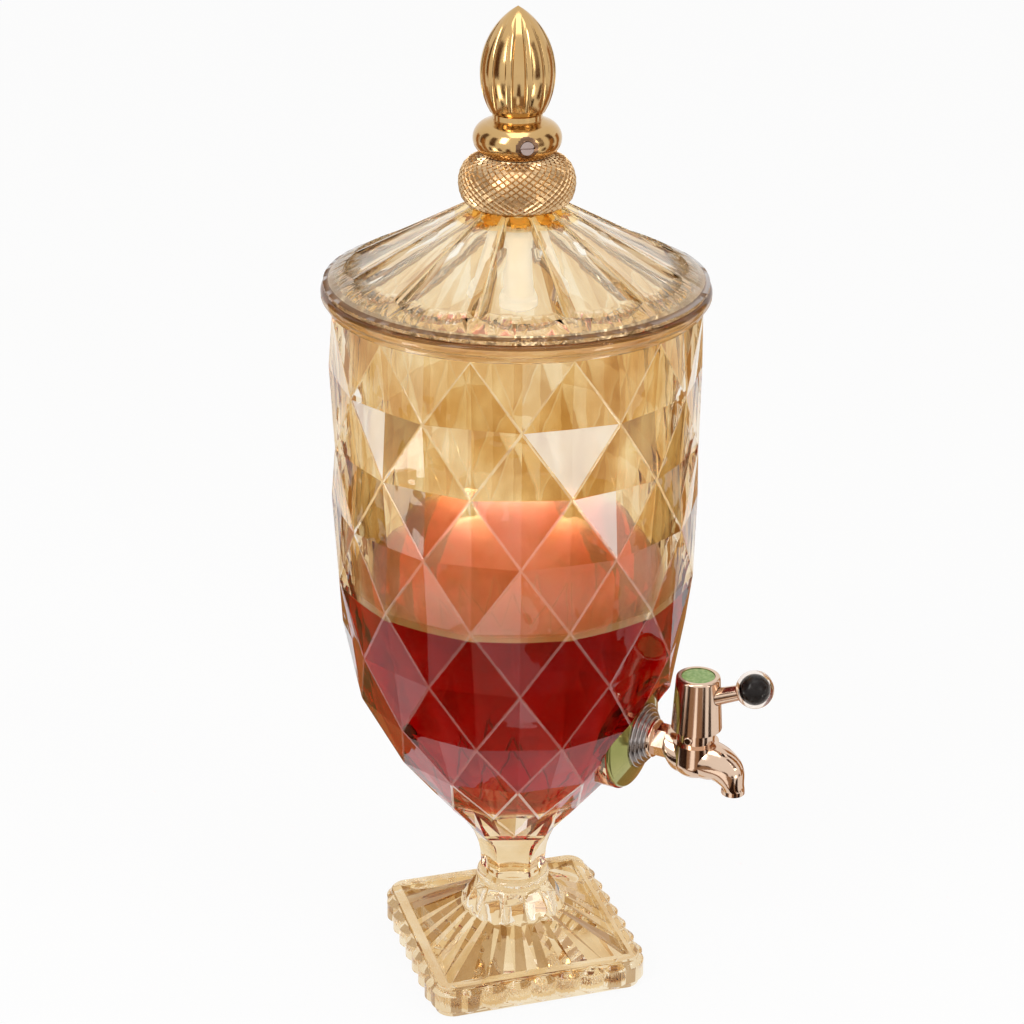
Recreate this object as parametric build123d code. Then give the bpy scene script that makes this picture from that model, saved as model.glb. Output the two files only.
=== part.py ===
from build123d import *
from math import acos, atan, cos, radians, sin, tan
import os

# Juice dispenser: a pressed-glass vessel on a square foot, with a fluted glass lid, a plated
# finial and a plated quarter-turn tap. All sizes are in millimetres. The origin is the centre
# of the foot's underside, +Z is up and the tap faces -Y. Angles go round from the tap.

cut_over = 1.0  # how far a cut runs past the face that it opens

# Foot: lobed sides, a raised frame, a sunk fan of flutes, a faceted collar and a bead ring
foot_side = 117.0
foot_height = 18.0
foot_corner_radius = 9.5
foot_top_chamfer = 0.8
foot_recess_depth = 3.0
foot_recess_edge = 9.0
lobes_per_side = 7
lobe_proud = 4.4
lobe_radius = 8.4
lobe_chamfer = 3.2
lobe_end_margin = 1.2
corner_lobe_proud = 2.6
frame_width = 6.2
fan_sink = 4.0
fan_rise = 18.5
fan_rays = 24
fan_groove = 1.5
collar_base_radius = 29.5
collar_top_radius = 20.0
collar_height = 14.5
collar_facets = 12
collar_sink = 3.0
ring_radius = 20.2
ring_height = 6.5
ring_round = 2.4
socket_depth = 3.5
bond_thickness = 0.4

# Bowl: a hexagonal neck that flares into a wall of pressed diamonds, smooth inside
neck_length = 39.0
neck_spigot_radius = 16.4
neck_spigot_length = 4.0
neck_socket_clearance = 0.3
neck_waist_radius = 18.0
neck_top_radius = 33.6
neck_shape = ((0.0, 0.0), (0.30, 0.02), (0.55, 0.19), (0.78, 0.50), (1.0, 1.0))
bowl_radius = 96.8
bowl_height = 309.2
belly_height = 172.0
belly_shape = ((0.96, 0.70), (0.825, 0.395), (0.567, 0.174), (0.322, 0.0))
wall_thickness = 6.0
inner_curve_shares = (0.0, 0.25, 0.5, 0.75, 0.92)
floor_height = 25.0
floor_round = 9.0
diamonds_round = 12
diamond_pitch = 36.4
diamond_recess = 1.3
diamond_rows = 9
lip_overhang = 3.2
lip_height = 7.0
lip_round = 3.0
plain_band = 9.2
band_overlap = 0.5

# Lid: a shallow cone of wide flutes between narrow ribs, with a skirt that centres it
lid_seat_clearance = 0.3
lid_brim_set_in = 1.4
lid_brim_height = 3.0
lid_brim_round = 1.2
lid_shoulder_set_in = 4.0
lid_crown_radius = 25.0
lid_cone_rise = 37.5
lid_thickness = 6.0
lid_flutes = 12
lid_rib_angle = 3.0
lid_flute_lean = 42.0
lid_flute_set_back = 1.0
lid_flute_end_set_in = 12.0
lid_flute_end_round = 45.0
lid_skirt_clearance = 1.2
lid_skirt_thickness = 3.5
lid_skirt_depth = 8.0

# Finial: a knurled ball, a smooth ring and a fluted bud, held by one stud through the crown
stud_radius = 3.0
stud_clearance = 0.25
ball_radius = 29.8
ball_height = 26.0
ball_foot_radius = 22.0
ball_neck_radius = 17.0
ball_middle_share = 0.46
ball_lower_bulge = (0.945, 0.17)
ball_upper_bulge = (0.90, 0.83)
finial_ring_radius = 22.4
finial_ring_height = 18.5
finial_ring_neck_radius = 16.0
finial_ring_middle_share = 0.46
bud_radius = 18.8
bud_height = 55.9
bud_widest = 23.0
bud_foot_radius = 12.6
bud_foot_height = 2.5
bud_base_radius = 14.0
bud_tip_radius = 2.6
bud_tip_height = 1.6
bud_flutes = 12
bud_flute_radius = 2.6
bud_flute_sink = 1.3
bud_flute_upper_sweep = 44.0
bud_flute_lower_sweep = 63.0
stud_in_bud = 16.0
set_screw_radius = 3.4
set_screw_length = 5.0
set_screw_turn = -49.0
set_screw_bezel_radius = 6.8
set_screw_bezel_proud = 0.8
set_screw_bezel_depth = 4.5
set_screw_slot = 0.9
set_screw_slot_depth = 1.2
crown_washer_radius = 14.0
crown_washer_thickness = 2.0
cup_nut_radius = 12.6
cup_nut_height = 24.0
cup_nut_wall = 2.6
cup_nut_flange_radius = 16.5
cup_nut_flange_height = 4.5
cup_nut_edge_round = 1.2
stud_tail = 5.0

# Tap: a threaded shank through a flat boss, with gaskets, a ribbed washer and a lock nut
tap_height = 157.0
boss_set_in = 25.8
boss_radius = 31.0
boss_rim = 5.0
boss_root_depth = 20.0
shank_radius = 7.75
shank_hole_clearance = 0.6
inner_spot_radius = 17.0
inner_spot_depth = 16.0
shank_inside = 14.0
shank_bore_radius = 3.8
gasket_radius = 30.0
gasket_rim = 2.0
gasket_rise = 5.0
gasket_top_radius = 18.5
gasket_round = 1.2
gasket_clearance = 0.2
washer_radius = 17.5
washer_step_height = 1.6
washer_step_width = 2.0
washer_steps = 4
washer_step_round = 0.5
inner_gasket_radius = 14.0
inner_gasket_thickness = 2.5
lock_nut_flats = 23.0
lock_nut_height = 7.0
lock_nut_flange_radius = 14.5
lock_nut_flange_height = 1.8
thread_clearance = 0.15

# Tap body: flange, hexagon, valve chamber and a spout that turns down to its mouth
body_flange_radius = 10.4
body_flange_length = 2.2
body_flange_round = 0.8
body_hex_flats = 15.4
body_hex_length = 7.0
body_neck_radius = 8.2
valve_from_boss = 38.2
chamber_radius = 12.2
chamber_top_above_axis = 5.0
chamber_bottom_below_axis = 15.0
chamber_bottom_round = 9.15
valve_bore_radius = 7.0
valve_bore_below_axis = 8.4
body_belly_radius = 10.3
body_belly_back = 9.7
body_belly_drop = 4.0
spout_root_radius = 10.6
spout_root_drop = 4.7
spout_mouth_radius = 6.2
spout_run = 8.8
spout_turn_radius = 13.5
spout_taper = ((0, 1.0), (30, 0.75), (60, 0.40), (90, 0.0))
spout_bore_radius = 4.0
spout_bore_drop = 1.5
spout_bore_run = 7.8
spout_bore_turn_radius = 14.5
spout_bore_mouth_length = 4.7

# Valve: a rotating plug with a cross port, two rings, and a bonnet with its pin
plug_clearance = 0.08
plug_port_radius = 3.6
plug_bottom_gap = 0.5
seal_wire_radius = 0.9
seal_clearance = 0.03
press_clearance = 0.02
seal_margin = 2.2
seal_low_margin = 0.6
bonnet_radius = 10.0
bonnet_height = 7.2
bonnet_edge_round = 0.7
shoulder_radius = 8.2
shoulder_thickness = 2.2
bonnet_clearance = 0.3
stem_radius = 5.2
bonnet_pin_radius = 1.3
bonnet_pin_head_radius = 2.5
bonnet_pin_head_height = 1.3
bonnet_pin_head_round = 0.9
bonnet_pin_length = 1.4
bonnet_pin_above_middle = 0.6
bonnet_pin_gap = 0.05

# Handle: a tapered cap with a disc on top, and a lever that ends in a clear ball
cap_lift = 0.9
cap_base_radius = 13.4
cap_top_radius = 11.6
cap_height = 30.0
cap_edge_round = 1.3
cap_wall = 2.0
cap_hollow_height = 14.0
square_head = 7.0
square_head_height = 6.0
square_clearance = 0.15
cap_screw_radius = 1.6
cap_screw_head_radius = 3.4
cap_screw_head_height = 2.4
cap_screw_length = 12.0
cap_screw_clearance = 0.2
cap_screw_thread_clearance = 0.05
cap_screw_head_clearance = 0.3
cap_screw_tail_gap = 1.0
cap_screw_slot = 0.9
cap_screw_web = 1.2
square_head_gap = 0.2
cap_disc_radius = 8.8
cap_disc_thickness = 1.2
cap_disc_sink = 0.3
cap_disc_round = 0.4
cap_disc_clearance = 0.15
lever_tilt = 24.0
lever_above_cap_base = 15.5
lever_length = 35.0
lever_socket_depth = 3.5
lever_root_radius = 4.7
lever_tip_radius = 3.9
lever_clearance = 0.1
lever_ball_radius = 10.0
lever_core_radius = 5.6
lever_end_gap = 0.1
lever_ball_clearance = 0.05

# Heights, from the table up
frame_top = foot_height
fan_edge = frame_top - fan_sink
collar_base = fan_edge + fan_rise
ring_base = collar_base + collar_height
foot_top = ring_base + ring_height
socket_floor = foot_top - socket_depth
bowl_base = socket_floor + bond_thickness
neck_top = bowl_base + neck_length
rim_top = neck_top + bowl_height
lid_seat = rim_top + lid_seat_clearance
cone_base = lid_seat + lid_brim_height
crown_top = cone_base + lid_cone_rise
ball_top = crown_top + ball_height
finial_ring_top = ball_top + finial_ring_height
bud_top = finial_ring_top + bud_height

# Reaches out from the vessel's upright axis
lip_radius = bowl_radius + lip_overhang
lid_brim_radius = lip_radius - lid_brim_set_in
lid_shoulder_radius = lip_radius - lid_shoulder_set_in
lid_flute_end = lip_radius - lid_flute_end_set_in
boss_face = bowl_radius - boss_set_in
boss_back = boss_face - wall_thickness
shank_inner_end = boss_back - shank_inside
tap_reach = boss_face + valve_from_boss
gasket_front = boss_face + gasket_rim + gasket_rise
washer_front = gasket_front + washer_steps * washer_step_height
flange_front = washer_front + body_flange_length
hex_front = flange_front + body_hex_length
shank_hole_radius = shank_radius + shank_hole_clearance
chamber_top = tap_height + chamber_top_above_axis
chamber_bottom = tap_height - chamber_bottom_below_axis
valve_bore_floor = tap_height - valve_bore_below_axis
bonnet_top = chamber_top + bonnet_height
cap_base = bonnet_top + cap_lift
cap_top = cap_base + cap_height

os.makedirs("parts", exist_ok=True)
written = []


def save(solid, node):
    export_step(solid, f"parts/{node}.step")
    written.append(node)


def around(radius, turn, height):
    """A point at an angle from the tap, seen from above and going towards +X."""
    return Vector(radius * sin(radians(turn)), -radius * cos(radians(turn)), height)


def triangle(first, second, third):
    return Face(Wire.make_polygon([first, second, third], close=True))


def turned(profile):
    """A solid of revolution about Z, from a face in the XZ plane."""
    return revolve(profile, axis=Axis.Z, revolution_arc=360)


def tap_plane(reach, height=tap_height):
    """A plane square to the tap's axis, with its normal pointing away from the vessel."""
    return Plane(origin=(0, -reach, height), x_dir=(1, 0, 0), z_dir=(0, -1, 0))


def tap_rod(radius, start, end, height=tap_height):
    return extrude(tap_plane(start, height) * Circle(radius), end - start)


def post(radius, low, high):
    """An upright cylinder on the tap's own upright axis."""
    return Pos(0, -tap_reach, low) * extrude(Circle(radius), high - low)


# The foot

def foot_fan():
    """The block under the fan: flutes fall from the collar to the frame on every side."""
    half = foot_side / 2 - frame_width
    count = 2 * fan_rays
    inner = []
    outer = []
    floor = []
    for index in range(count):
        turn = 45.0 + index * 360.0 / count
        groove = fan_groove if index % 2 else 0.0
        along = max(abs(sin(radians(turn))), abs(cos(radians(turn))))
        inner.append(around(collar_base_radius, turn, collar_base - groove))
        outer.append(around(half / along, turn, fan_edge - groove))
        floor.append(around(half / along, turn, foot_recess_depth))
    faces = [Face(Wire.make_polygon(floor, close=True))]
    peak = Vector(0, 0, collar_base)
    for index in range(count):
        after = (index + 1) % count
        faces.append(triangle(peak, inner[index], inner[after]))
        faces.append(triangle(inner[index], outer[index], outer[after]))
        faces.append(triangle(inner[index], outer[after], inner[after]))
        faces.append(triangle(outer[index], floor[index], outer[after]))
        faces.append(triangle(outer[after], floor[index], floor[after]))
    return Solid(Shell(faces))


def foot_lobes():
    """One side's row of upright lobes, with a lobe at its left corner."""
    pitch = (foot_side - 2 * foot_corner_radius) / lobes_per_side
    lobe_height = foot_height - 2 * lobe_end_margin
    lobe = extrude(Circle(lobe_radius), lobe_height)
    lobe = chamfer(lobe.edges().filter_by(GeomType.CIRCLE), lobe_chamfer)
    inset = foot_side / 2 + lobe_proud - lobe_radius
    row = []
    for index in range(lobes_per_side):
        along = (index - (lobes_per_side - 1) / 2) * pitch
        row.append(Pos(along, -inset, lobe_end_margin) * lobe)
    corner = foot_side / 2 - foot_corner_radius
    corner_lobe = extrude(Circle(foot_corner_radius + corner_lobe_proud), lobe_height)
    corner_lobe = chamfer(corner_lobe.edges().filter_by(GeomType.CIRCLE), lobe_chamfer)
    row.append(Pos(-corner, -corner, lobe_end_margin) * corner_lobe)
    return row


def make_foot():
    outline = RectangleRounded(foot_side, foot_side, foot_corner_radius)
    frame = extrude(outline, foot_height)
    frame = chamfer(frame.faces().sort_by(Axis.Z)[-1].edges(), foot_top_chamfer)
    lobes = [Rot(0, 0, 90 * side) * lobe for side in range(4) for lobe in foot_lobes()]
    opening = Rectangle(foot_side - 2 * frame_width, foot_side - 2 * frame_width)
    pocket = Pos(0, 0, foot_recess_depth) * extrude(opening, foot_height)
    ground = foot_side - 2 * foot_recess_edge
    underside = extrude(RectangleRounded(ground, ground, foot_corner_radius), foot_recess_depth)
    base = (frame + lobes) - pocket - underside
    collar = loft([
        Pos(0, 0, collar_base - collar_sink) * RegularPolygon(
            collar_base_radius + fan_groove, collar_facets, rotation=15),
        Pos(0, 0, ring_base) * RegularPolygon(collar_top_radius, collar_facets, rotation=15),
    ])
    ring = Pos(0, 0, ring_base) * extrude(Circle(ring_radius), ring_height)
    ring = fillet(ring.edges().filter_by(GeomType.CIRCLE), ring_round)
    socket = Pos(0, 0, socket_floor) * extrude(
        Circle(neck_spigot_radius + neck_socket_clearance), socket_depth + cut_over)
    return Rot(0, 0, 45) * (base + foot_fan()) + collar + ring - socket


# The bowl

def bowl_curve():
    """The outer wall in the XZ plane, through the diamonds' high points, from the rim down."""
    top = rim_top - plain_band
    shoulder = (bowl_radius, neck_top + belly_height)
    side = Line((bowl_radius, top), shoulder)
    points = [(wide * bowl_radius, neck_top + high * belly_height) for wide, high in belly_shape]
    belly = Spline(shoulder, *points, tangents=((0, -1), (-0.78, -1)))
    return side, belly


def wall_point(side, belly, distance):
    """Radius and height on the outer wall, at a length measured down from the plain band."""
    if distance <= side.length:
        return side.position_at(distance, position_mode=PositionMode.LENGTH)
    return belly.position_at(distance - side.length, position_mode=PositionMode.LENGTH)


def bowl_diamonds():
    """The faceted outside: rows of high points, staggered, with a low point in each diamond."""
    side, belly = bowl_curve()
    step = 360.0 / diamonds_round
    levels = [wall_point(side, belly, row * diamond_pitch) for row in range(diamond_rows)]

    def high(row, turn):
        return around(levels[row].X, turn, levels[row].Y)

    def low(row, turn):
        return around(levels[row].X - diamond_recess, turn, levels[row].Y)

    def neck(turn):
        flat_angle = (turn + 30.0) % 60.0 - 30.0
        radius = neck_top_radius * cos(radians(30)) / cos(radians(flat_angle))
        return around(radius, turn, neck_top)

    last = diamond_rows - 1
    faces = []
    top_edge = []
    bottom_edge = []
    for column in range(diamonds_round):
        turn = (column + 0.5) * step
        top_edge += [high(0, turn), low(0, turn + step / 2)]
        bottom_edge.append(neck(column * step))
        beside = turn + step / 2
        faces.append(triangle(high(0, turn), high(1, beside), low(0, beside)))
        faces.append(triangle(low(0, beside), high(1, beside), high(0, turn + step)))
        faces.append(triangle(high(last, turn), neck(turn - step / 2), neck(beside)))
        for row in range(1, diamond_rows):
            middle = turn if row % 2 else turn + step / 2
            above = high(row - 1, middle)
            left = high(row, middle - step / 2)
            right = high(row, middle + step / 2)
            below = high(row + 1, middle) if row < last else neck(middle)
            centre = low(row, middle)
            faces.append(triangle(above, left, centre))
            faces.append(triangle(left, below, centre))
            faces.append(triangle(below, right, centre))
            faces.append(triangle(right, above, centre))
    faces.append(Face(Wire.make_polygon(top_edge, close=True)))
    faces.append(Face(Wire.make_polygon(bottom_edge, close=True)))
    return Solid(Shell(faces))


def bowl_neck():
    """Spigot, waist and flare of the six-sided neck."""
    spigot_top = bowl_base + neck_spigot_length
    flare = neck_top - spigot_top
    spigot = Pos(0, 0, bowl_base) * extrude(Circle(neck_spigot_radius), neck_spigot_length)
    widening = neck_top_radius - neck_waist_radius
    sections = [
        Pos(0, 0, spigot_top + rise * flare) * RegularPolygon(neck_waist_radius + share * widening, 6)
        for rise, share in neck_shape
    ]
    return spigot + loft(sections)


def bowl_cavity():
    """The smooth inside, a wall's thickness in from the outer curve, down to the floor."""
    side, belly = bowl_curve()
    inner = []
    for share in inner_curve_shares:
        point = belly @ share
        along = belly % share
        inner.append((point.X + wall_thickness * along.Y, point.Y - wall_thickness * along.X))
    curve = Spline(*inner)
    floor = neck_top + floor_height
    low = curve @ 1
    outline = [
        Line((0, rim_top + cut_over), (bowl_radius - wall_thickness, rim_top + cut_over)),
        Line((bowl_radius - wall_thickness, rim_top + cut_over), curve @ 0),
        curve,
        Line(low, (0, low.Y)),
        Line((0, low.Y), (0, rim_top + cut_over)),
    ]
    hollow = turned(make_face([Plane.XZ * edge for edge in outline]))
    keep = Pos(0, 0, floor) * extrude(Circle(bowl_radius), rim_top)
    hollow = hollow & keep
    return fillet(hollow.edges().sort_by(Axis.Z)[0], floor_round)


def make_bowl():
    outside = bowl_diamonds()
    lip_low = rim_top - lip_height
    top = rim_top - plain_band
    band_height = rim_top - lip_height - top
    band = Pos(0, 0, top - band_overlap) * extrude(Circle(bowl_radius), band_height + 2 * band_overlap)
    lip = Pos(0, 0, lip_low) * extrude(Circle(lip_radius), lip_height)
    lip = fillet(lip.edges().filter_by(GeomType.CIRCLE), lip_round)
    outside = outside + band + lip
    boss_root = tap_rod(boss_radius, boss_back - boss_root_depth, boss_face)
    glass = outside + bowl_neck() + boss_root - bowl_cavity()
    boss_sleeve = tap_rod(boss_radius + boss_rim, boss_back, lip_radius) & outside
    boss_pad = tap_rod(boss_radius, boss_back, boss_face)
    spot_face = tap_rod(boss_radius, boss_face, boss_face + boss_radius)
    shank_hole = tap_rod(shank_hole_radius, boss_back - wall_thickness, boss_face + wall_thickness)
    inner_spot = tap_rod(inner_spot_radius, boss_back - inner_spot_depth, boss_back)
    return glass + boss_sleeve + boss_pad - spot_face - inner_spot - shank_hole


# The lid

def lid_flute():
    """One wide flute: a cutting cone from near the lid's own point, which leans above its slope."""
    rise = lid_cone_rise / (lid_shoulder_radius - lid_crown_radius)
    point = cone_base + lid_shoulder_radius * rise
    slope = atan(rise)
    axis_slope = slope - radians(lid_flute_lean)
    half = radians(180.0 / lid_flutes - lid_rib_angle / 2)
    spread = acos(cos(axis_slope) * cos(slope) * cos(half) + sin(axis_slope) * sin(slope))
    length = 2 * lid_flute_end
    cone = Cone(length * tan(spread), 0, length, align=(Align.CENTER, Align.CENTER, Align.MAX))
    away = Vector(0, cos(axis_slope), sin(axis_slope))
    cutter = Plane(origin=(0, lid_flute_set_back, point), x_dir=(1, 0, 0), z_dir=away) * cone
    middle = lid_flute_end - lid_flute_end_round
    end = Pos(0, -middle, lid_seat) * extrude(Circle(lid_flute_end_round), 2 * lid_cone_rise)
    side = length * tan(half + radians(lid_rib_angle / 4))
    sector = make_face(Polyline((0, 0), (-side, -length), (side, -length), close=True))
    return cutter & end & (Pos(0, 0, lid_seat) * extrude(sector, 2 * lid_cone_rise))


def make_lid():
    rise = lid_cone_rise / (lid_shoulder_radius - lid_crown_radius)
    skirt_radius = bowl_radius - wall_thickness - lid_skirt_clearance
    skirt_inner = skirt_radius - lid_skirt_thickness
    skirt_foot = lid_seat - lid_skirt_depth
    under_edge = cone_base + (lid_shoulder_radius - skirt_inner) * rise - lid_thickness
    under_top = crown_top - lid_thickness
    under_radius = lid_shoulder_radius - (under_top + lid_thickness - cone_base) / rise
    brim_edge = cone_base - lid_brim_round
    outline = Polyline(
        (0, crown_top),
        (lid_crown_radius, crown_top),
        (lid_shoulder_radius, cone_base),
        (lid_brim_radius, brim_edge),
        (lid_brim_radius, lid_seat),
        (skirt_radius, lid_seat),
        (skirt_radius, skirt_foot),
        (skirt_inner, skirt_foot),
        (skirt_inner, under_edge),
        (under_radius, under_top),
        (0, under_top),
        close=True,
    )
    shell = turned(make_face(Plane.XZ * outline))
    flute = lid_flute()
    flutes = [Rot(0, 0, index * 360.0 / lid_flutes) * flute for index in range(lid_flutes)]
    stud_hole = Pos(0, 0, under_top - cut_over) * extrude(
        Circle(stud_radius + stud_clearance), lid_thickness + 2 * cut_over)
    return shell - flutes - stud_hole


# The finial and what holds it

def stud_bore(low, high):
    return Pos(0, 0, low) * extrude(Circle(stud_radius + stud_clearance), high - low)


def make_finial_ball():
    """A flattened ball that narrows to a foot on the lid's crown and a neck under the ring."""
    middle = crown_top + ball_height * ball_middle_share
    lower_out, lower_up = ball_lower_bulge
    upper_out, upper_up = ball_upper_bulge
    lower = ThreePointArc(
        (ball_foot_radius, crown_top),
        (ball_radius * lower_out, crown_top + ball_height * lower_up),
        (ball_radius, middle),
    )
    upper = ThreePointArc(
        (ball_radius, middle),
        (ball_radius * upper_out, crown_top + ball_height * upper_up),
        (ball_neck_radius, ball_top),
    )
    outline = [
        lower,
        upper,
        Line((ball_neck_radius, ball_top), (0, ball_top)),
        Line((0, ball_top), (0, crown_top)),
        Line((0, crown_top), (ball_foot_radius, crown_top)),
    ]
    ball = turned(make_face([Plane.XZ * edge for edge in outline]))
    return ball - stud_bore(crown_top - cut_over, ball_top + cut_over)


def set_screw_plane(reach):
    """A plane on the ring's middle, facing out at the set screw's turn."""
    away = around(1, set_screw_turn, 0)
    middle = ball_top + finial_ring_height * finial_ring_middle_share
    across = Vector(away.Y, -away.X, 0)
    return Plane(origin=away * reach + Vector(0, 0, middle), x_dir=across, z_dir=away)


def make_finial_ring():
    """A smooth band with rounded edges, a cove above it, and a bezel round the set screw."""
    band = finial_ring_height * finial_ring_middle_share
    outline = [
        Line((0, ball_top), (finial_ring_neck_radius, ball_top)),
        ThreePointArc(
            (finial_ring_neck_radius, ball_top),
            (finial_ring_radius, ball_top + band),
            (finial_ring_neck_radius, ball_top + 2 * band),
        ),
        Line((finial_ring_neck_radius, ball_top + 2 * band), (bud_foot_radius, finial_ring_top)),
        Line((bud_foot_radius, finial_ring_top), (0, finial_ring_top)),
        Line((0, finial_ring_top), (0, ball_top)),
    ]
    ring = turned(make_face([Plane.XZ * edge for edge in outline]))
    bezel = extrude(
        set_screw_plane(finial_ring_radius - set_screw_bezel_depth) * Circle(set_screw_bezel_radius),
        set_screw_bezel_depth + set_screw_bezel_proud)
    start = finial_ring_radius - set_screw_length
    hole = extrude(
        set_screw_plane(start) * Circle(set_screw_radius + stud_clearance / 2),
        set_screw_length + 2 * cut_over)
    return ring + bezel - hole - stud_bore(ball_top - cut_over, finial_ring_top + cut_over)


def make_set_screw():
    start = finial_ring_radius - set_screw_length
    screw = extrude(set_screw_plane(start) * Circle(set_screw_radius), set_screw_length)
    slot = extrude(
        set_screw_plane(finial_ring_radius - set_screw_slot_depth)
        * Rectangle(2 * set_screw_radius + cut_over, set_screw_slot),
        set_screw_slot_depth + cut_over)
    return screw - slot


def bud_groove(sweep_radius, side):
    """Half of one round-bottomed flute, above or below the bud's widest level, that runs out."""
    middle = finial_ring_top + bud_widest
    centre = bud_radius + bud_flute_radius - bud_flute_sink - sweep_radius
    upright = Plane(origin=(centre, 0, middle), x_dir=(1, 0, 0), z_dir=(0, -1, 0))
    half = Box(2 * bud_radius, bud_radius, bud_height,
               align=(Align.CENTER, Align.CENTER, side))
    return upright * Torus(sweep_radius, bud_flute_radius) & (Pos(bud_radius, 0, middle) * half)


def make_finial_bud():
    """A pointed bud with round-bottomed flutes up its sides, on a small foot."""
    middle = finial_ring_top + bud_widest
    start = finial_ring_top + bud_foot_height
    tip_low = bud_top - bud_tip_height
    outline = [
        Line((0, finial_ring_top), (bud_foot_radius, finial_ring_top)),
        Line((bud_foot_radius, finial_ring_top), (bud_foot_radius, start)),
        Line((bud_foot_radius, start), (bud_base_radius, start + bud_foot_height / 2)),
        TangentArc((bud_radius, middle), (bud_base_radius, start + bud_foot_height / 2),
                   tangent=(0, -1)),
        TangentArc((bud_radius, middle), (bud_tip_radius, tip_low), tangent=(0, 1)),
        Line((bud_tip_radius, tip_low), (0, bud_top)),
        Line((0, bud_top), (0, finial_ring_top)),
    ]
    bud = turned(make_face([Plane.XZ * edge for edge in outline]))
    groove = bud_groove(bud_flute_upper_sweep, Align.MIN) + bud_groove(
        bud_flute_lower_sweep, Align.MAX)
    grooves = [Rot(0, 0, (index + 0.5) * 360.0 / bud_flutes) * groove for index in range(bud_flutes)]
    return bud - grooves - stud_bore(finial_ring_top - cut_over, finial_ring_top + stud_in_bud)


def make_finial_stud():
    low = crown_top - lid_thickness - crown_washer_thickness - stud_tail
    high = finial_ring_top + stud_in_bud
    return Pos(0, 0, low) * extrude(Circle(stud_radius), high - low)


def make_crown_washer():
    high = crown_top - lid_thickness
    washer = Pos(0, 0, high - crown_washer_thickness) * extrude(
        Circle(crown_washer_radius), crown_washer_thickness)
    return washer - stud_bore(high - crown_washer_thickness - cut_over, high + cut_over)


def make_cup_nut():
    """A white cup with a wide flange to turn it by; the stud's tail ends inside it."""
    high = crown_top - lid_thickness - crown_washer_thickness
    low = high - cup_nut_height
    cup = Pos(0, 0, low) * extrude(Circle(cup_nut_radius), cup_nut_height)
    flange = Pos(0, 0, low) * extrude(Circle(cup_nut_flange_radius), cup_nut_flange_height)
    flange = fillet(flange.edges().filter_by(GeomType.CIRCLE), cup_nut_edge_round)
    hollow = Pos(0, 0, low - cut_over) * extrude(
        Circle(cup_nut_radius - cup_nut_wall), cup_nut_height - 3 * cup_nut_wall + cut_over)
    return cup + flange - hollow - stud_bore(low, high + cut_over)


# The tap's gaskets, washer and nut

def make_tap_gasket():
    """A shallow cone on a round-edged rim; the washer bears on its top."""
    rim = tap_rod(gasket_radius, boss_face, boss_face + gasket_rim)
    rise = loft([tap_plane(boss_face + gasket_rim) * Circle(gasket_radius),
                 tap_plane(gasket_front) * Circle(gasket_top_radius)])
    gasket = rim + rise
    gasket = fillet(gasket.edges().filter_by(GeomType.CIRCLE).sort_by(Axis.Y)[1], gasket_round)
    return gasket - tap_rod(
        shank_radius + gasket_clearance, boss_face - cut_over, gasket_front + cut_over)


def make_tap_washer():
    """A plated washer in rising rings, each narrower than the last."""
    washer = Part()
    for step in range(washer_steps):
        start = gasket_front + step * washer_step_height
        ring = tap_rod(washer_radius - step * washer_step_width, start, start + washer_step_height)
        ring = fillet(ring.edges().sort_by(Axis.Y)[0], washer_step_round)
        washer += ring
    return washer - tap_rod(
        shank_radius + gasket_clearance, gasket_front - cut_over, washer_front + cut_over)


def make_inner_gasket():
    start = boss_back - inner_gasket_thickness
    gasket = tap_rod(inner_gasket_radius, start, boss_back)
    return gasket - tap_rod(shank_radius + gasket_clearance, start - cut_over, boss_back + cut_over)


def make_lock_nut():
    high = boss_back - inner_gasket_thickness
    low = high - lock_nut_height
    nut = extrude(tap_plane(low) * RegularPolygon(lock_nut_flats / 2, 6, major_radius=False),
                  lock_nut_height)
    flange = tap_rod(lock_nut_flange_radius, high - lock_nut_flange_height, high)
    return nut + flange - tap_rod(shank_radius + thread_clearance, low - cut_over, high + cut_over)


# The tap's body and valve

def bend_point(turn, drop, run, bend_radius):
    """A point on a line that runs out level from the valve's axis and then turns down."""
    reach = tap_reach + run + bend_radius * sin(radians(turn))
    height = tap_height - drop - bend_radius * (1 - cos(radians(turn)))
    return Vector(0, -reach, height)


def spout_mouth_height():
    bore_end = bend_point(90, spout_bore_drop, spout_bore_run, spout_bore_turn_radius)
    return bore_end.Z - spout_bore_mouth_length


def spout_outside():
    """The casting from the hexagon to the mouth: it swells under the valve and tapers as it turns."""
    belly_height = tap_height - body_belly_drop
    root_height = tap_height - spout_root_drop
    sections = [
        tap_plane(hex_front) * Circle(body_neck_radius),
        tap_plane(tap_reach - body_belly_back, belly_height) * Circle(body_belly_radius),
        tap_plane(tap_reach, root_height) * Circle(spout_root_radius),
    ]
    for turn, share in spout_taper:
        radius = spout_mouth_radius + (spout_root_radius - spout_mouth_radius) * share
        middle = bend_point(turn, spout_root_drop, spout_run, spout_turn_radius)
        across = Plane(origin=middle, x_dir=(1, 0, 0),
                       z_dir=(0, -cos(radians(turn)), -sin(radians(turn))))
        sections.append(across * Circle(radius))
    mouth = Pos(0, middle.Y, spout_mouth_height()) * extrude(
        Circle(spout_mouth_radius), middle.Z - spout_mouth_height())
    return loft(sections) + mouth


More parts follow.
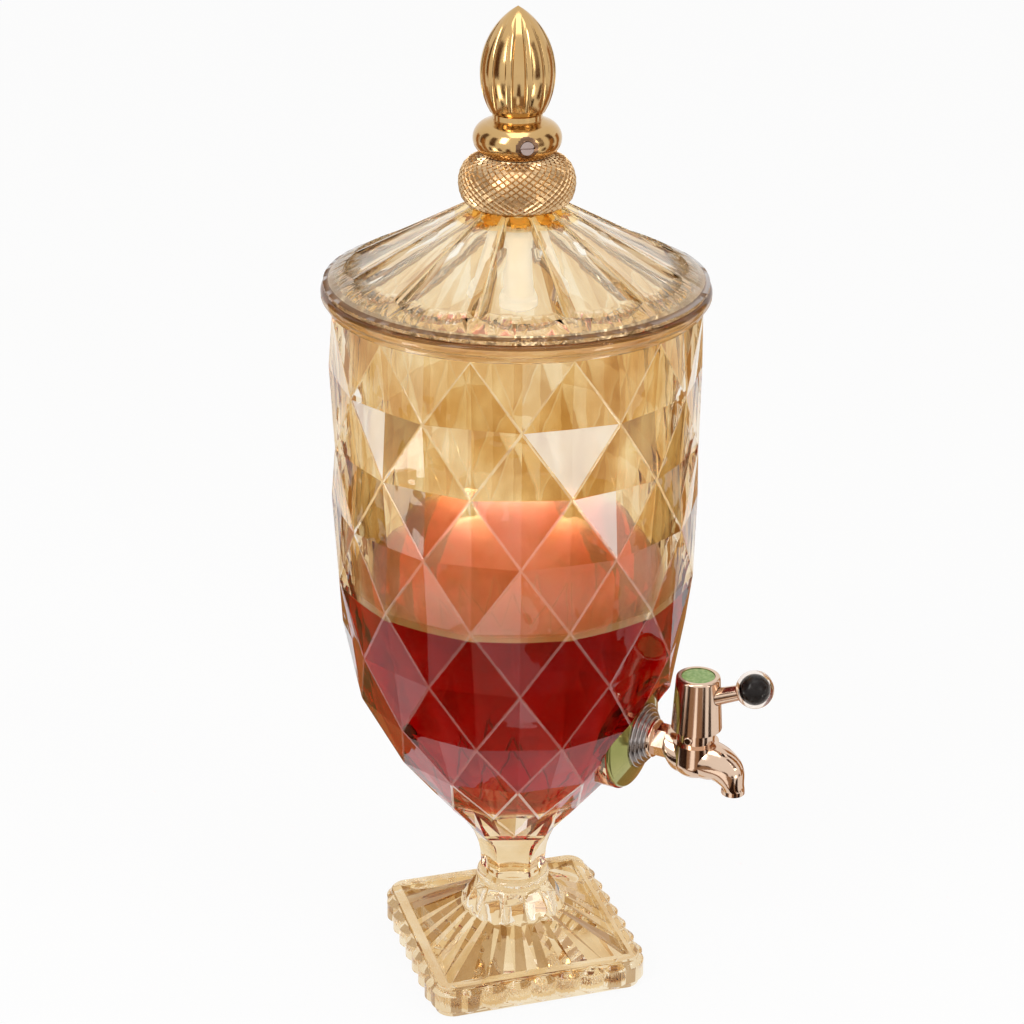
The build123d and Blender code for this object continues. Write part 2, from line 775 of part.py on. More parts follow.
def spout_bore():
    start = Vector(0, -tap_reach, tap_height - spout_bore_drop)
    bend_start = bend_point(0, spout_bore_drop, spout_bore_run, spout_bore_turn_radius)
    bend_end = bend_point(90, spout_bore_drop, spout_bore_run, spout_bore_turn_radius)
    run = Line(start, bend_start)
    bend = TangentArc(bend_start, bend_end, tangent=(0, -1, 0))
    drop = Line(bend_end, Vector(0, bend_end.Y, spout_mouth_height() - cut_over))
    section = Plane(origin=start, x_dir=(1, 0, 0), z_dir=(0, -1, 0)) * Circle(spout_bore_radius)
    return sweep(section, path=Wire([run, bend, drop]))


def make_tap_body():
    shank = tap_rod(shank_radius, shank_inner_end, washer_front)
    flange = tap_rod(body_flange_radius, washer_front, flange_front)
    flange = fillet(flange.edges().sort_by(Axis.Y)[0], body_flange_round)
    hexagon = extrude(
        tap_plane(flange_front) * RegularPolygon(body_hex_flats / 2, 6, major_radius=False),
        body_hex_length)
    neck = tap_rod(body_neck_radius, hex_front, tap_reach)
    chamber = post(chamber_radius, chamber_bottom, chamber_top)
    chamber = fillet(chamber.edges().sort_by(Axis.Z)[0], chamber_bottom_round)
    chamber = chamber + spout_outside()
    body = shank + flange + hexagon + neck + chamber
    inlet = tap_rod(shank_bore_radius, shank_inner_end - cut_over, tap_reach)
    valve_bore = post(valve_bore_radius, valve_bore_floor, chamber_top + cut_over)
    bonnet_seat = post(bonnet_radius + bonnet_clearance, chamber_top, cap_top)
    return body - inlet - valve_bore - spout_bore() - bonnet_seat


def make_valve_plug():
    """A cylinder with a port across it, two seal grooves, a shoulder, a stem and a square head."""
    radius = valve_bore_radius - plug_clearance
    bottom = valve_bore_floor + plug_bottom_gap
    shoulder_low = chamber_top + bonnet_clearance / 2
    shoulder_high = shoulder_low + shoulder_thickness
    stem_top = cap_base + cap_hollow_height
    plug = post(radius, bottom, shoulder_low)
    shoulder = post(shoulder_radius, shoulder_low, shoulder_high)
    stem = post(stem_radius, shoulder_high, stem_top)
    head = Pos(0, -tap_reach, stem_top) * extrude(
        Rectangle(square_head, square_head), square_head_height)
    port = extrude(Plane(origin=(-2 * radius, -tap_reach, tap_height), z_dir=(1, 0, 0)) * Circle(
        plug_port_radius), 4 * radius)
    screw_hole = post(cap_screw_radius, stem_top + square_head_height - cap_screw_length,
                      stem_top + square_head_height + cut_over)
    grooves = [Pos(0, -tap_reach, height) * Torus(seal_ring_radius(), seal_wire_radius)
               for height in seal_heights()]
    return plug + shoulder + stem + head - port - screw_hole - grooves


def seal_ring_radius():
    return valve_bore_radius - seal_clearance - seal_wire_radius


def seal_heights():
    low = valve_bore_floor + plug_bottom_gap + seal_wire_radius + seal_low_margin
    high = chamber_top - seal_margin + seal_wire_radius
    return low, high


def make_plug_seals():
    rings = [Pos(0, -tap_reach, height) * Torus(seal_ring_radius(), seal_wire_radius)
             for height in seal_heights()]
    return Compound(children=rings)


def make_bonnet_ring():
    """A ring screwed to the chamber's top; it holds the plug's shoulder down."""
    ring = post(bonnet_radius, chamber_top, bonnet_top)
    ring = fillet(ring.edges().sort_by(Axis.Z)[-1], bonnet_edge_round)
    seat = post(shoulder_radius + bonnet_clearance, chamber_top - cut_over,
                chamber_top + shoulder_thickness + bonnet_clearance)
    stem_hole = post(stem_radius + bonnet_clearance, chamber_top - cut_over, bonnet_top + cut_over)
    return ring - seat - stem_hole - bonnet_pin_rod(bonnet_pin_radius + press_clearance, cut_over)


def bonnet_pin_rod(radius, beyond=0.0):
    middle = bonnet_top - bonnet_height / 2 + bonnet_pin_above_middle
    start = bonnet_radius - bonnet_pin_length
    plane = Plane(origin=(-start, -tap_reach, middle), z_dir=(-1, 0, 0))
    return extrude(plane * Circle(radius), bonnet_pin_length + beyond)


def make_bonnet_pin():
    middle = bonnet_top - bonnet_height / 2 + bonnet_pin_above_middle
    plane = Plane(origin=(-bonnet_radius - bonnet_pin_gap, -tap_reach, middle), z_dir=(-1, 0, 0))
    head = extrude(plane * Circle(bonnet_pin_head_radius), bonnet_pin_head_height)
    head = fillet(head.edges().sort_by(Axis.X)[0], bonnet_pin_head_round)
    return bonnet_pin_rod(bonnet_pin_radius, 2 * bonnet_pin_gap) + head


# The handle

def lever_plane(reach):
    """A plane across the lever, at a distance from the cap's axis."""
    away = Vector(0, -cos(radians(lever_tilt)), sin(radians(lever_tilt)))
    root = Vector(0, -tap_reach, cap_base + lever_above_cap_base)
    return Plane(origin=root + away * reach, x_dir=(1, 0, 0), z_dir=away)


def lever_root_reach():
    """Where the lever meets the bottom of its socket in the cap."""
    return cap_top_radius - lever_socket_depth


def make_tap_cap():
    """A tapered cap, hollow below, with a seat for its disc, a square socket and a lever socket."""
    cone = Pos(0, -tap_reach, cap_base) * Cone(
        cap_base_radius, cap_top_radius, cap_height,
        align=(Align.CENTER, Align.CENTER, Align.MIN))
    cone = fillet(cone.edges().filter_by(GeomType.CIRCLE).sort_by(Axis.Z)[-1], cap_edge_round)
    hollow = post(cap_top_radius - cap_wall, cap_base - cut_over, cap_base + cap_hollow_height)
    socket = Pos(0, -tap_reach, cap_base + cap_hollow_height - cut_over) * extrude(
        Rectangle(square_head + 2 * square_clearance, square_head + 2 * square_clearance),
        square_head_height + square_head_gap + cut_over)
    screw_way = post(cap_screw_radius + cap_screw_clearance, cap_base + cap_hollow_height, cap_top)
    seat = cap_top - cap_disc_thickness - cap_disc_sink
    head_way = post(cap_screw_head_radius + cap_screw_head_clearance, screw_head_low(),
                    cap_top + cut_over)
    disc_seat = post(cap_disc_radius + cap_disc_clearance, seat, cap_top + cut_over)
    lever_hole = extrude(
        lever_plane(lever_root_reach()) * Circle(lever_root_radius + lever_clearance), cap_base_radius)
    return cone - hollow - socket - screw_way - head_way - disc_seat - lever_hole


def screw_head_low():
    return cap_base + cap_hollow_height + square_head_height + cap_screw_web


def make_cap_screw():
    low = screw_head_low()
    tail = cap_base + cap_hollow_height + square_head_height - cap_screw_length + cap_screw_tail_gap
    shank = post(cap_screw_radius - cap_screw_thread_clearance, tail, low)
    head = post(cap_screw_head_radius, low, low + cap_screw_head_height)
    slot = Pos(0, -tap_reach, low + cap_screw_head_height) * Box(
        2 * cap_screw_head_radius + cut_over, cap_screw_slot, 2 * cap_screw_slot)
    return shank + head - slot


def make_cap_disc():
    low = cap_top - cap_disc_thickness - cap_disc_sink
    disc = post(cap_disc_radius, low, low + cap_disc_thickness)
    return fillet(disc.edges().sort_by(Axis.Z)[-1], cap_disc_round)


def make_lever():
    start = lever_root_reach() + lever_end_gap / 2
    end = lever_length - lever_core_radius - lever_end_gap
    return loft([lever_plane(start) * Circle(lever_root_radius),
                 lever_plane(end) * Circle(lever_tip_radius)])


def make_lever_ball():
    middle = Pos(lever_plane(lever_length).origin)
    ball = middle * Sphere(lever_ball_radius)
    core = middle * Sphere(lever_core_radius + lever_ball_clearance)
    start = lever_root_reach()
    end = lever_length - lever_core_radius
    way = loft([lever_plane(start) * Circle(lever_root_radius + lever_ball_clearance),
                lever_plane(end) * Circle(lever_tip_radius + lever_ball_clearance)])
    return ball - (core + way)


def make_lever_core():
    return Pos(lever_plane(lever_length).origin) * Sphere(lever_core_radius)


def make_foot_bond():
    return Pos(0, 0, socket_floor) * extrude(Circle(neck_spigot_radius), bond_thickness)


save(make_foot(), "foot")
save(make_foot_bond(), "foot_bond")
save(make_bowl(), "bowl")
save(make_lid(), "lid")
save(make_finial_ball(), "finial_ball")
save(make_finial_ring(), "finial_ring")
save(make_set_screw(), "finial_set_screw")
save(make_finial_bud(), "finial_bud")
save(make_finial_stud(), "finial_stud")
save(make_crown_washer(), "crown_washer")
save(make_cup_nut(), "cup_nut")
save(make_tap_gasket(), "tap_gasket")
save(make_tap_washer(), "tap_washer")
save(make_inner_gasket(), "inner_gasket")
save(make_lock_nut(), "lock_nut")
save(make_tap_body(), "tap_body")
save(make_valve_plug(), "valve_plug")
save(make_plug_seals(), "plug_seals")
save(make_bonnet_ring(), "bonnet_ring")
save(make_bonnet_pin(), "bonnet_pin")
save(make_tap_cap(), "tap_cap")
save(make_cap_screw(), "cap_screw")
save(make_cap_disc(), "cap_disc")
save(make_lever(), "lever")
save(make_lever_ball(), "lever_ball")
save(make_lever_core(), "lever_ball_core")
print(len(written), "nodes:", ", ".join(written))
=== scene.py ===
import bmesh
import bpy
from math import atan2, cos, degrees, hypot, radians, sin
from mathutils import Euler, Matrix, Vector


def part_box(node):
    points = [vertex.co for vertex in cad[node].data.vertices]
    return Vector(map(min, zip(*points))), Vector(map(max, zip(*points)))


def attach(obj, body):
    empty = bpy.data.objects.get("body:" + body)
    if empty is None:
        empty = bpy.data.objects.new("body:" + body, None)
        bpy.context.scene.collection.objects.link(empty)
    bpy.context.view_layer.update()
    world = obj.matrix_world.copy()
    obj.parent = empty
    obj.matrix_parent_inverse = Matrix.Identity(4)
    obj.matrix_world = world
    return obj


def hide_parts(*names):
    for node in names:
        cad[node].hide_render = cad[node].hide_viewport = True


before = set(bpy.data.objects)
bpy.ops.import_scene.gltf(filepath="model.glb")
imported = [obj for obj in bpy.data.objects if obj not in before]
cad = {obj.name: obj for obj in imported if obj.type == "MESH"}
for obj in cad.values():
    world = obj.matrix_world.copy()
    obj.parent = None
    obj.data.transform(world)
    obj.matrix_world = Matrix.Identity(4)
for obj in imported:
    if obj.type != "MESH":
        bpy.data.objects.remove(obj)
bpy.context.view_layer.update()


# The studio: a white floor under a white room. Camera, metal and glass see both as pure white,
# everything else is lit by them at a plain level, and the floor keeps a faint shadow.

def seen_directly(tree):
    """1 for camera, mirror and glass rays, and 0 for the rays that only light things."""
    path = tree.nodes.new("ShaderNodeLightPath")
    first = tree.nodes.new("ShaderNodeMath")
    first.operation = "MAXIMUM"
    tree.links.new(path.outputs["Is Camera Ray"], first.inputs[0])
    tree.links.new(path.outputs["Is Glossy Ray"], first.inputs[1])
    both = tree.nodes.new("ShaderNodeMath")
    both.operation = "MAXIMUM"
    tree.links.new(first.outputs[0], both.inputs[0])
    tree.links.new(path.outputs["Is Transmission Ray"], both.inputs[1])
    return both.outputs[0]


scene = bpy.context.scene
scene.view_settings.view_transform = "Standard"
scene.cycles.max_bounces = 96
scene.cycles.transmission_bounces = 96
scene.cycles.glossy_bounces = 96
room = bpy.data.worlds.new("white_room")
scene.world = room
room.use_nodes = True
room.node_tree.nodes.clear()
room_light = room.node_tree.nodes.new("ShaderNodeBackground")
room_light.inputs["Color"].default_value = (1.0, 0.98, 0.96, 1)
room_light.inputs["Strength"].default_value = 0.62
room_seen = room.node_tree.nodes.new("ShaderNodeBackground")
room_seen.inputs["Color"].default_value = (1, 1, 1, 1)
room_seen.inputs["Strength"].default_value = 1.0
room_mix = room.node_tree.nodes.new("ShaderNodeMixShader")
room_out = room.node_tree.nodes.new("ShaderNodeOutputWorld")
room.node_tree.links.new(seen_directly(room.node_tree), room_mix.inputs["Fac"])
room.node_tree.links.new(room_light.outputs[0], room_mix.inputs[1])
room.node_tree.links.new(room_seen.outputs[0], room_mix.inputs[2])
room.node_tree.links.new(room_mix.outputs[0], room_out.inputs["Surface"])

bpy.ops.mesh.primitive_plane_add(size=9.0, location=(0, 0, 0))
floor = bpy.context.object
floor.name = "studio_floor"
floor_paint = bpy.data.materials.new("floor_white")
floor_paint.use_nodes = True
floor_nodes = floor_paint.node_tree.nodes
floor_links = floor_paint.node_tree.links
floor_matt = floor_nodes["Principled BSDF"]
floor_matt.inputs["Base Color"].default_value = (0.82, 0.81, 0.80, 1)
floor_matt.inputs["Roughness"].default_value = 0.9
floor_glow = floor_nodes.new("ShaderNodeEmission")
floor_glow.inputs["Strength"].default_value = 1.0
white_share = 0.93
floor_share = floor_nodes.new("ShaderNodeMath")
floor_share.operation = "MULTIPLY"
floor_share.inputs[1].default_value = white_share
floor_mix = floor_nodes.new("ShaderNodeMixShader")
floor_links.new(seen_directly(floor_paint.node_tree), floor_share.inputs[0])
floor_links.new(floor_share.outputs[0], floor_mix.inputs["Fac"])
floor_links.new(floor_matt.outputs[0], floor_mix.inputs[1])
floor_links.new(floor_glow.outputs[0], floor_mix.inputs[2])
floor_links.new(floor_mix.outputs[0], floor_nodes["Material Output"].inputs["Surface"])
floor.data.materials.append(floor_paint)


# The lamps: a large soft box at the left, a narrow one at the right and one above, which put the
# highlights on plating and glass.

def soft_box(name, place, aim, width, height, power):
    """A rectangular lamp at a place, turned to shine on another."""
    bpy.ops.object.light_add(type="AREA", location=place)
    lamp = bpy.context.object
    lamp.name = name
    lamp.data.shape = "RECTANGLE"
    lamp.data.size = width
    lamp.data.size_y = height
    lamp.data.energy = power
    lamp.rotation_euler = (Vector(aim) - Vector(place)).to_track_quat("-Z", "Y").to_euler()
    return lamp


soft_box("left_box", (-1.15, 0.2, 1.15), (0, 0, 0.35), 0.35, 0.8, 7.0)
soft_box("right_box", (-0.1, -1.4, 0.9), (0, 0, 0.3), 0.3, 0.8, 5.0)
soft_box("top_box", (-0.3, -0.2, 1.7), (0, 0, 0.3), 0.8, 0.8, 4.0)


# The froth's lamps. The renderer lets no lamp's light through glass, so a flat strip inside the
# bowl, on the side away from the camera, stands in for the light that comes through the far wall
# and catches the froth. A square one over the juice fills it in, and neither shows itself.

camera_turn = -61.9
froth_way = radians(camera_turn + 180.0)
froth_place = Vector((sin(froth_way), -cos(froth_way), 0)) * 0.080 + Vector((0, 0, 0.264))
froth_strip = soft_box("froth_strip", froth_place, (0, 0, 0), 0.11, 0.012, 0.11)
froth_strip.rotation_euler = (0, 0, froth_way)
froth_fill = soft_box("froth_fill", (0, 0, 0.335), (0, 0, 0.2), 0.10, 0.10, 0.12)
for lamp in (froth_strip, froth_fill):
    lamp.visible_camera = False
    lamp.visible_transmission = False
    lamp.visible_glossy = False


# Cards round the set, which only mirrors and glass see. Brown ones and bright ones lie and stand
# in turn, so that plating and facets get the contrast of a photographer's table.

def glow(name, color, strength):
    """A card's paint, which shines by itself."""
    paint = bpy.data.materials.new(name)
    paint.use_nodes = True
    lit = paint.node_tree.nodes.new("ShaderNodeEmission")
    lit.inputs["Color"].default_value = color
    lit.inputs["Strength"].default_value = strength
    paint.node_tree.links.new(lit.outputs[0], paint.node_tree.nodes["Material Output"].inputs["Surface"])
    return paint


def card(name, paint, turn, near, far, low, high, width, through=False):
    """A card that runs out from the vessel, from (near, low) to (far, high), at a turn from the tap."""
    out = Vector((sin(radians(turn)), -cos(radians(turn)), 0))
    bpy.ops.mesh.primitive_plane_add(size=1.0)
    piece = bpy.context.object
    piece.name = name
    piece.scale = (width, hypot(far - near, high - low), 1)
    piece.location = out * (near + far) / 2 + Vector((0, 0, (low + high) / 2))
    piece.rotation_euler = (atan2(high - low, far - near), 0, radians(turn + 180.0))
    bpy.ops.object.transform_apply(location=True, rotation=True, scale=True)
    piece.visible_camera = False
    piece.visible_diffuse = False
    piece.visible_transmission = through
    piece.visible_volume_scatter = False
    piece.visible_shadow = False
    piece.data.materials.append(paint)


brown = glow("card_brown", (0.10, 0.042, 0.016, 1), 1.0)
tan = glow("card_tan", (0.34, 0.21, 0.13, 1), 1.0)
amber = glow("card_amber", (0.42, 0.20, 0.06, 1), 1.0)
bright = glow("card_bright", (1.0, 0.96, 0.90, 1), 6.0)
pale = glow("card_white", (1.0, 0.97, 0.94, 1), 1.3)
ink = glow("card_ink", (0.028, 0.013, 0.007, 1), 1.0)
card("front_tan", tan, camera_turn - 4.0, 0.15, 0.66, 0.002, 0.002, 0.62)
card("front_white", pale, camera_turn + 1.0, 0.20, 0.66, 0.004, 0.004, 0.10)
for step in (-62, -36, 34, 58):
    card("front_ink_%d" % step, ink, camera_turn + step, 0.16, 0.66, 0.004, 0.004, 0.11)
for step in (-75, -48, -24, 4, 28, 76, 104):
    card("front_far_%d" % step, brown, camera_turn + step, 0.68, 1.50, 0.002, 0.002, 0.20)
card("right_patch", bright, camera_turn + 50.0, 0.80, 1.40, 0.003, 0.003, 0.20)
card("left_patch", bright, camera_turn - 62.0, 0.60, 1.30, 0.003, 0.003, 0.16)
for step in (-100, -66, 62, 98):
    card("tall_%d" % step, brown, camera_turn + step, 0.70, 0.70, 0.36, 1.00, 0.22)
for step in (112, 135, 158, 180, 202, 225, 248):
    card("back_%d" % step, amber, camera_turn + step, 0.14, 1.30, 0.002, 0.002, 0.13)
for step in (-122, -95, 95, 124):
    card("side_%d" % step, amber, camera_turn + step, 0.55, 0.55, 0.0, 0.60, 0.14, True)


# The camera stands where the photographer's did: a long lens, a little above the lid, which
# leans by a third of a degree.

camera_tilt = 66.635
camera_lean = 0.344
bpy.ops.object.camera_add(location=(-1.0888, -0.5814, 0.8036))
camera = bpy.context.object
camera.name = "photo_camera"
upright = Euler((radians(camera_tilt), 0, radians(camera_turn))).to_matrix()
camera.rotation_euler = (upright @ Matrix.Rotation(radians(camera_lean), 3, "Z")).to_euler()
camera.data.sensor_width = 36.0
camera.data.lens = 89.13
camera.data.shift_x = -0.0031
camera.data.clip_start = 0.05
camera.data.clip_end = 30.0
scene.camera = camera


# The bowl: pressed in an iron mould that gives it rows of diamonds and a six-sided neck, smooth
# inside, fire-polished so that ridges and lip are rounded, with a flat ground in it for the tap.
# Amber glass with a thin lustre on the outside.

mm = 0.001
tap_z = 157.0
beyond_wall = 130.0


def resize(factor):
    """Moves what is selected towards the upright axis, or away from it."""
    bpy.ops.transform.resize(value=(factor, factor, 1), center_override=(0, 0, 0))


def draw_on(before, after):
    """Draws the selected face on from one (radius, height) to the next."""
    bpy.ops.mesh.extrude_region_move(
        TRANSFORM_OT_translate={"value": (0, 0, (after[1] - before[1]) * mm)})
    resize(after[0] / before[0])


def turned(name, rings, sides=96):
    """A round piece drawn up from a disc, ring after ring, each (radius, height) in millimetres."""
    bpy.ops.object.select_all(action="DESELECT")
    bpy.ops.mesh.primitive_circle_add(
        vertices=sides, radius=rings[0][0] * mm, fill_type="NGON", location=(0, 0, rings[0][1] * mm))
    piece = bpy.context.object
    piece.name = name
    bpy.ops.object.transform_apply(location=True, rotation=True, scale=True)
    bpy.ops.object.mode_set(mode="EDIT")
    bpy.ops.mesh.select_all(action="SELECT")
    for before, after in zip(rings, rings[1:]):
        draw_on(before, after)
    bpy.ops.mesh.select_all(action="SELECT")
    bpy.ops.mesh.normals_make_consistent(inside=False)
    bpy.ops.object.mode_set(mode="OBJECT")
    return piece


def tap_disc(name, radius, start, end):
    """A round block on the tap's own axis, between two distances from the vessel's axis."""
    bpy.ops.object.select_all(action="DESELECT")
    bpy.ops.mesh.primitive_cylinder_add(
        vertices=96, radius=radius * mm, depth=(end - start) * mm,
        location=(0, -(start + end) / 2 * mm, tap_z * mm), rotation=(radians(90), 0, 0))
    piece = bpy.context.object
    piece.name = name
    bpy.ops.object.transform_apply(location=True, rotation=True, scale=True)
    return piece


def take_up(piece):
    """Makes the piece the only one selected, for the operators that follow."""
    bpy.ops.object.select_all(action="DESELECT")
    bpy.context.view_layer.objects.active = piece
    piece.select_set(True)


def carve(piece, tool, operation="DIFFERENCE"):
    """Cuts one piece with another, or joins them, and throws the other away."""
    take_up(piece)
    cut = piece.modifiers.new("cut", "BOOLEAN")
    cut.operation = operation
    cut.solver = "EXACT"
    cut.object = tool
    bpy.ops.object.modifier_apply(modifier="cut")
    bpy.data.objects.remove(tool)


def round_off(piece, angle):
    """Smooth shading, with creases where the surface turns by more than the angle."""
    take_up(piece)
    bpy.ops.object.shade_smooth_by_angle(angle=radians(angle))


def pick(piece, kind, wanted):
    """Selects, in edit mode, the points, edges or faces for which wanted(item) is true."""
    mesh = bmesh.from_edit_mesh(piece.data)
    bpy.ops.mesh.select_mode(type=kind)
    bpy.ops.mesh.select_all(action="DESELECT")
    items = {"VERT": mesh.verts, "EDGE": mesh.edges, "FACE": mesh.faces}[kind]
    for item in items:
        if wanted(item):
            item.select_set(True)
    mesh.select_flush_mode()
    bmesh.update_edit_mesh(piece.data)


def turn_step(point):
    """The point's turn from the tap, in steps of 15 degrees."""
    return round(degrees(atan2(point.co.x, -point.co.y)) / 15.0)


def is_level(place, height):
    """Whether a place lies at a height, to a tenth of a millimetre."""
    return abs(place.z / mm - height) < 0.1


diamond_levels = [(96.8, 389.4), (96.8, 353.0), (96.8, 316.6), (96.8, 280.2), (96.29, 243.81),
                  (92.63, 207.6), (85.39, 171.97), (69.63, 139.32), (47.71, 110.27)]
diamond_recess = 2.6
neck_top_z = 89.4
neck_corner = 33.6
neck_levels = [(30.6, 86.6), (28.0, 84.2), (26.2, 82.3), (25.4, 80.8), (24.2, 79.6), (22.2, 76.4),
               (20.4, 72.2), (19.1, 68.0), (18.4, 63.6), (18.0, 58.6), (18.0, 54.4)]
bowl = turned("bowl_glass", diamond_levels + [(neck_corner, neck_top_z)], sides=24)
bpy.ops.object.mode_set(mode="EDIT")
for row, (radius, height) in enumerate(diamond_levels):
    pick(bowl, "VERT", lambda p: is_level(p.co, height) and (turn_step(p) + row) % 2 == 0)
    resize((radius - diamond_recess) / radius)
pick(bowl, "VERT", lambda p: is_level(p.co, neck_top_z) and turn_step(p) % 4 == 0)
resize(cos(radians(30)))
pick(bowl, "VERT", lambda p: is_level(p.co, neck_top_z) and turn_step(p) % 2 == 1)
resize(cos(radians(30)) / cos(radians(15)))
pick(bowl, "FACE", lambda f: is_level(f.calc_center_median(), neck_top_z))
for before, after in zip([(neck_corner, neck_top_z)] + neck_levels, neck_levels):
    draw_on(before, after)
pick(bowl, "FACE", lambda f: f.calc_center_median().z / mm > neck_top_z and abs(f.normal.z) < 0.95)
bpy.ops.mesh.quads_convert_to_tris(quad_method="LONGEST_DIAGONAL", ngon_method="BEAUTY")


def is_high(point):
    """Whether a point is one of the diamonds' corners, which stand proud."""
    row = min(range(len(diamond_levels)), key=lambda k: abs(diamond_levels[k][1] - point.co.z / mm))
    return (turn_step(point) + row) % 2 == 1


def is_ridge(edge):
    """A diamond's side: it runs aslant between two high points."""
    first, second = edge.verts
    if min(first.co.z, second.co.z) / mm < neck_top_z + 1.0 or abs(first.co.z - second.co.z) / mm < 1.0:
        return False
    return turn_step(first) != turn_step(second) and is_high(first) and is_high(second)


# Two slots, empty for now, so that the bevel can mark the ridges.
ridge_width = 0.75
plain_slot = 0
ridge_slot = 1
for slot in (plain_slot, ridge_slot):
    bowl.data.materials.append(None)
pick(bowl, "EDGE", is_ridge)
bpy.ops.mesh.bevel(
    offset=ridge_width * mm, segments=2, profile=0.5, affect="EDGES", material=ridge_slot)
bpy.ops.mesh.select_all(action="SELECT")
bpy.ops.mesh.normals_make_consistent(inside=False)
bpy.ops.object.mode_set(mode="OBJECT")

spigot_radius = 16.4
carve(bowl, turned("spigot", [(spigot_radius, 50.4), (spigot_radius, 55.0)]), "UNION")
band_radius = 96.9
lip_middle = 97.0
lip_round = 3.0
lip_low_z = 394.6
lip_high_z = 395.6
lip_rings = [(band_radius, 388.9), (band_radius, 391.4)]
for step in range(0, 91, 15):
    lip_rings.append((
        lip_middle + lip_round * sin(radians(step)), lip_low_z - lip_round * cos(radians(step))))
for step in range(0, 91, 15):
    lip_rings.append((
        lip_middle + lip_round * cos(radians(step)), lip_high_z + lip_round * sin(radians(step))))
carve(bowl, turned("lip", lip_rings), "UNION")
boss_root = 45.0
boss_back = 65.0
boss_face = 71.0
boss_radius = 31.0
boss_gap = 5.0
carve(bowl, tap_disc("boss_root", boss_radius, boss_root, boss_face), "UNION")
inside_wall = [(40.0, 114.4), (42.5, 114.9), (44.8, 116.2), (46.67, 118.27), (51.88, 125.0),
               (56.94, 131.9), (61.82, 138.9), (66.46, 146.0), (70.76, 153.4), (74.64, 161.0),
               (78.01, 168.8), (80.77, 176.9), (82.97, 185.1), (84.69, 193.5), (86.02, 201.9),
               (87.07, 210.4), (87.91, 218.9), (88.62, 227.4), (89.22, 235.9), (89.76, 244.4),
               (90.27, 252.9), (90.8, 261.4)]
above_lip = (90.8, 400.0)
inner_spot_radius = 17.0
inner_spot_start = 49.0
shank_hole_radius = 8.35
shank_hole_end = 90.0
hollow = turned("hollow", inside_wall + [above_lip])
carve(hollow, tap_disc("boss_room", boss_radius + boss_gap, boss_back, beyond_wall))
carve(bowl, hollow)
carve(bowl, tap_disc("spot_face", boss_radius, boss_face, beyond_wall))
carve(bowl, tap_disc("inner_spot", inner_spot_radius, inner_spot_start, boss_back))
carve(bowl, tap_disc("shank_hole", shank_hole_radius, boss_root, shank_hole_end))
round_off(bowl, 30.0)


def middle_height(face):
    """The height of a face's middle, in millimetres."""
    return face.calc_center_median().z / mm


def middle_reach(face):
    """How far a face's middle is from the upright axis, in millimetres."""
    middle = face.calc_center_median()
    return hypot(middle.x, middle.y) / mm


facet_top_z = 389.3
tap_clearing = 37.5


def is_facet(face):
    """A face of the pressed outside, away from the boss."""
    middle = face.calc_center_median()
    out = Vector((middle.x, middle.y, 0)).normalized()
    by_the_tap = middle.y < 0 and hypot(middle.x, middle.z - tap_z * mm) < tap_clearing * mm
    return neck_top_z < middle.z / mm < facet_top_z and face.normal.dot(out) > 0.2 and not by_the_tap


bpy.ops.object.mode_set(mode="EDIT")
pick(bowl, "FACE", is_facet)
bpy.ops.mesh.faces_shade_flat()
bpy.ops.object.mode_set(mode="OBJECT")


def amber_glass(name, tint, streaks, wave, rough=0.0, shine=1.0, lustre=0.0, clear=1.0):
    """Pressed glass: its colour is a tint with soft streaks, and its surface ripples by the wave."""
    glass = bpy.data.materials.new(name)
    glass.use_nodes = True
    nodes = glass.node_tree.nodes
    links = glass.node_tree.links
    shader = nodes["Principled BSDF"]
    shader.inputs["Roughness"].default_value = rough
    shader.inputs["IOR"].default_value = 1.5
    shader.inputs["Transmission Weight"].default_value = clear
    shader.inputs["Specular Tint"].default_value = (shine, shine, shine, 1)
    shader.inputs["Coat Weight"].default_value = lustre
    shader.inputs["Coat IOR"].default_value = 1.6
    place = nodes.new("ShaderNodeTexCoord")
    cloud = nodes.new("ShaderNodeTexNoise")
    cloud.inputs["Scale"].default_value = 30.0
    cloud.inputs["Detail"].default_value = 3.0
    links.new(place.outputs["Object"], cloud.inputs["Vector"])
    spread = nodes.new("ShaderNodeMapRange")
    spread.inputs["From Min"].default_value = 0.35
    spread.inputs["From Max"].default_value = 0.65
    links.new(cloud.outputs["Fac"], spread.inputs["Value"])
    shade = nodes.new("ShaderNodeMix")
    shade.data_type = "RGBA"
    shade.inputs["A"].default_value = tint
    shade.inputs["B"].default_value = streaks
    links.new(spread.outputs["Result"], shade.inputs["Factor"])
    links.new(shade.outputs["Result"], shader.inputs["Base Color"])
    ripple = nodes.new("ShaderNodeTexNoise")
    ripple.inputs["Scale"].default_value = 55.0
    ripple.inputs["Detail"].default_value = 1.5
    links.new(place.outputs["Object"], ripple.inputs["Vector"])
    bump = nodes.new("ShaderNodeBump")
    bump.inputs["Strength"].default_value = 1.0
    bump.inputs["Distance"].default_value = wave
    links.new(ripple.outputs["Fac"], bump.inputs["Height"])
    links.new(bump.outputs["Normal"], shader.inputs["Normal"])
    return glass


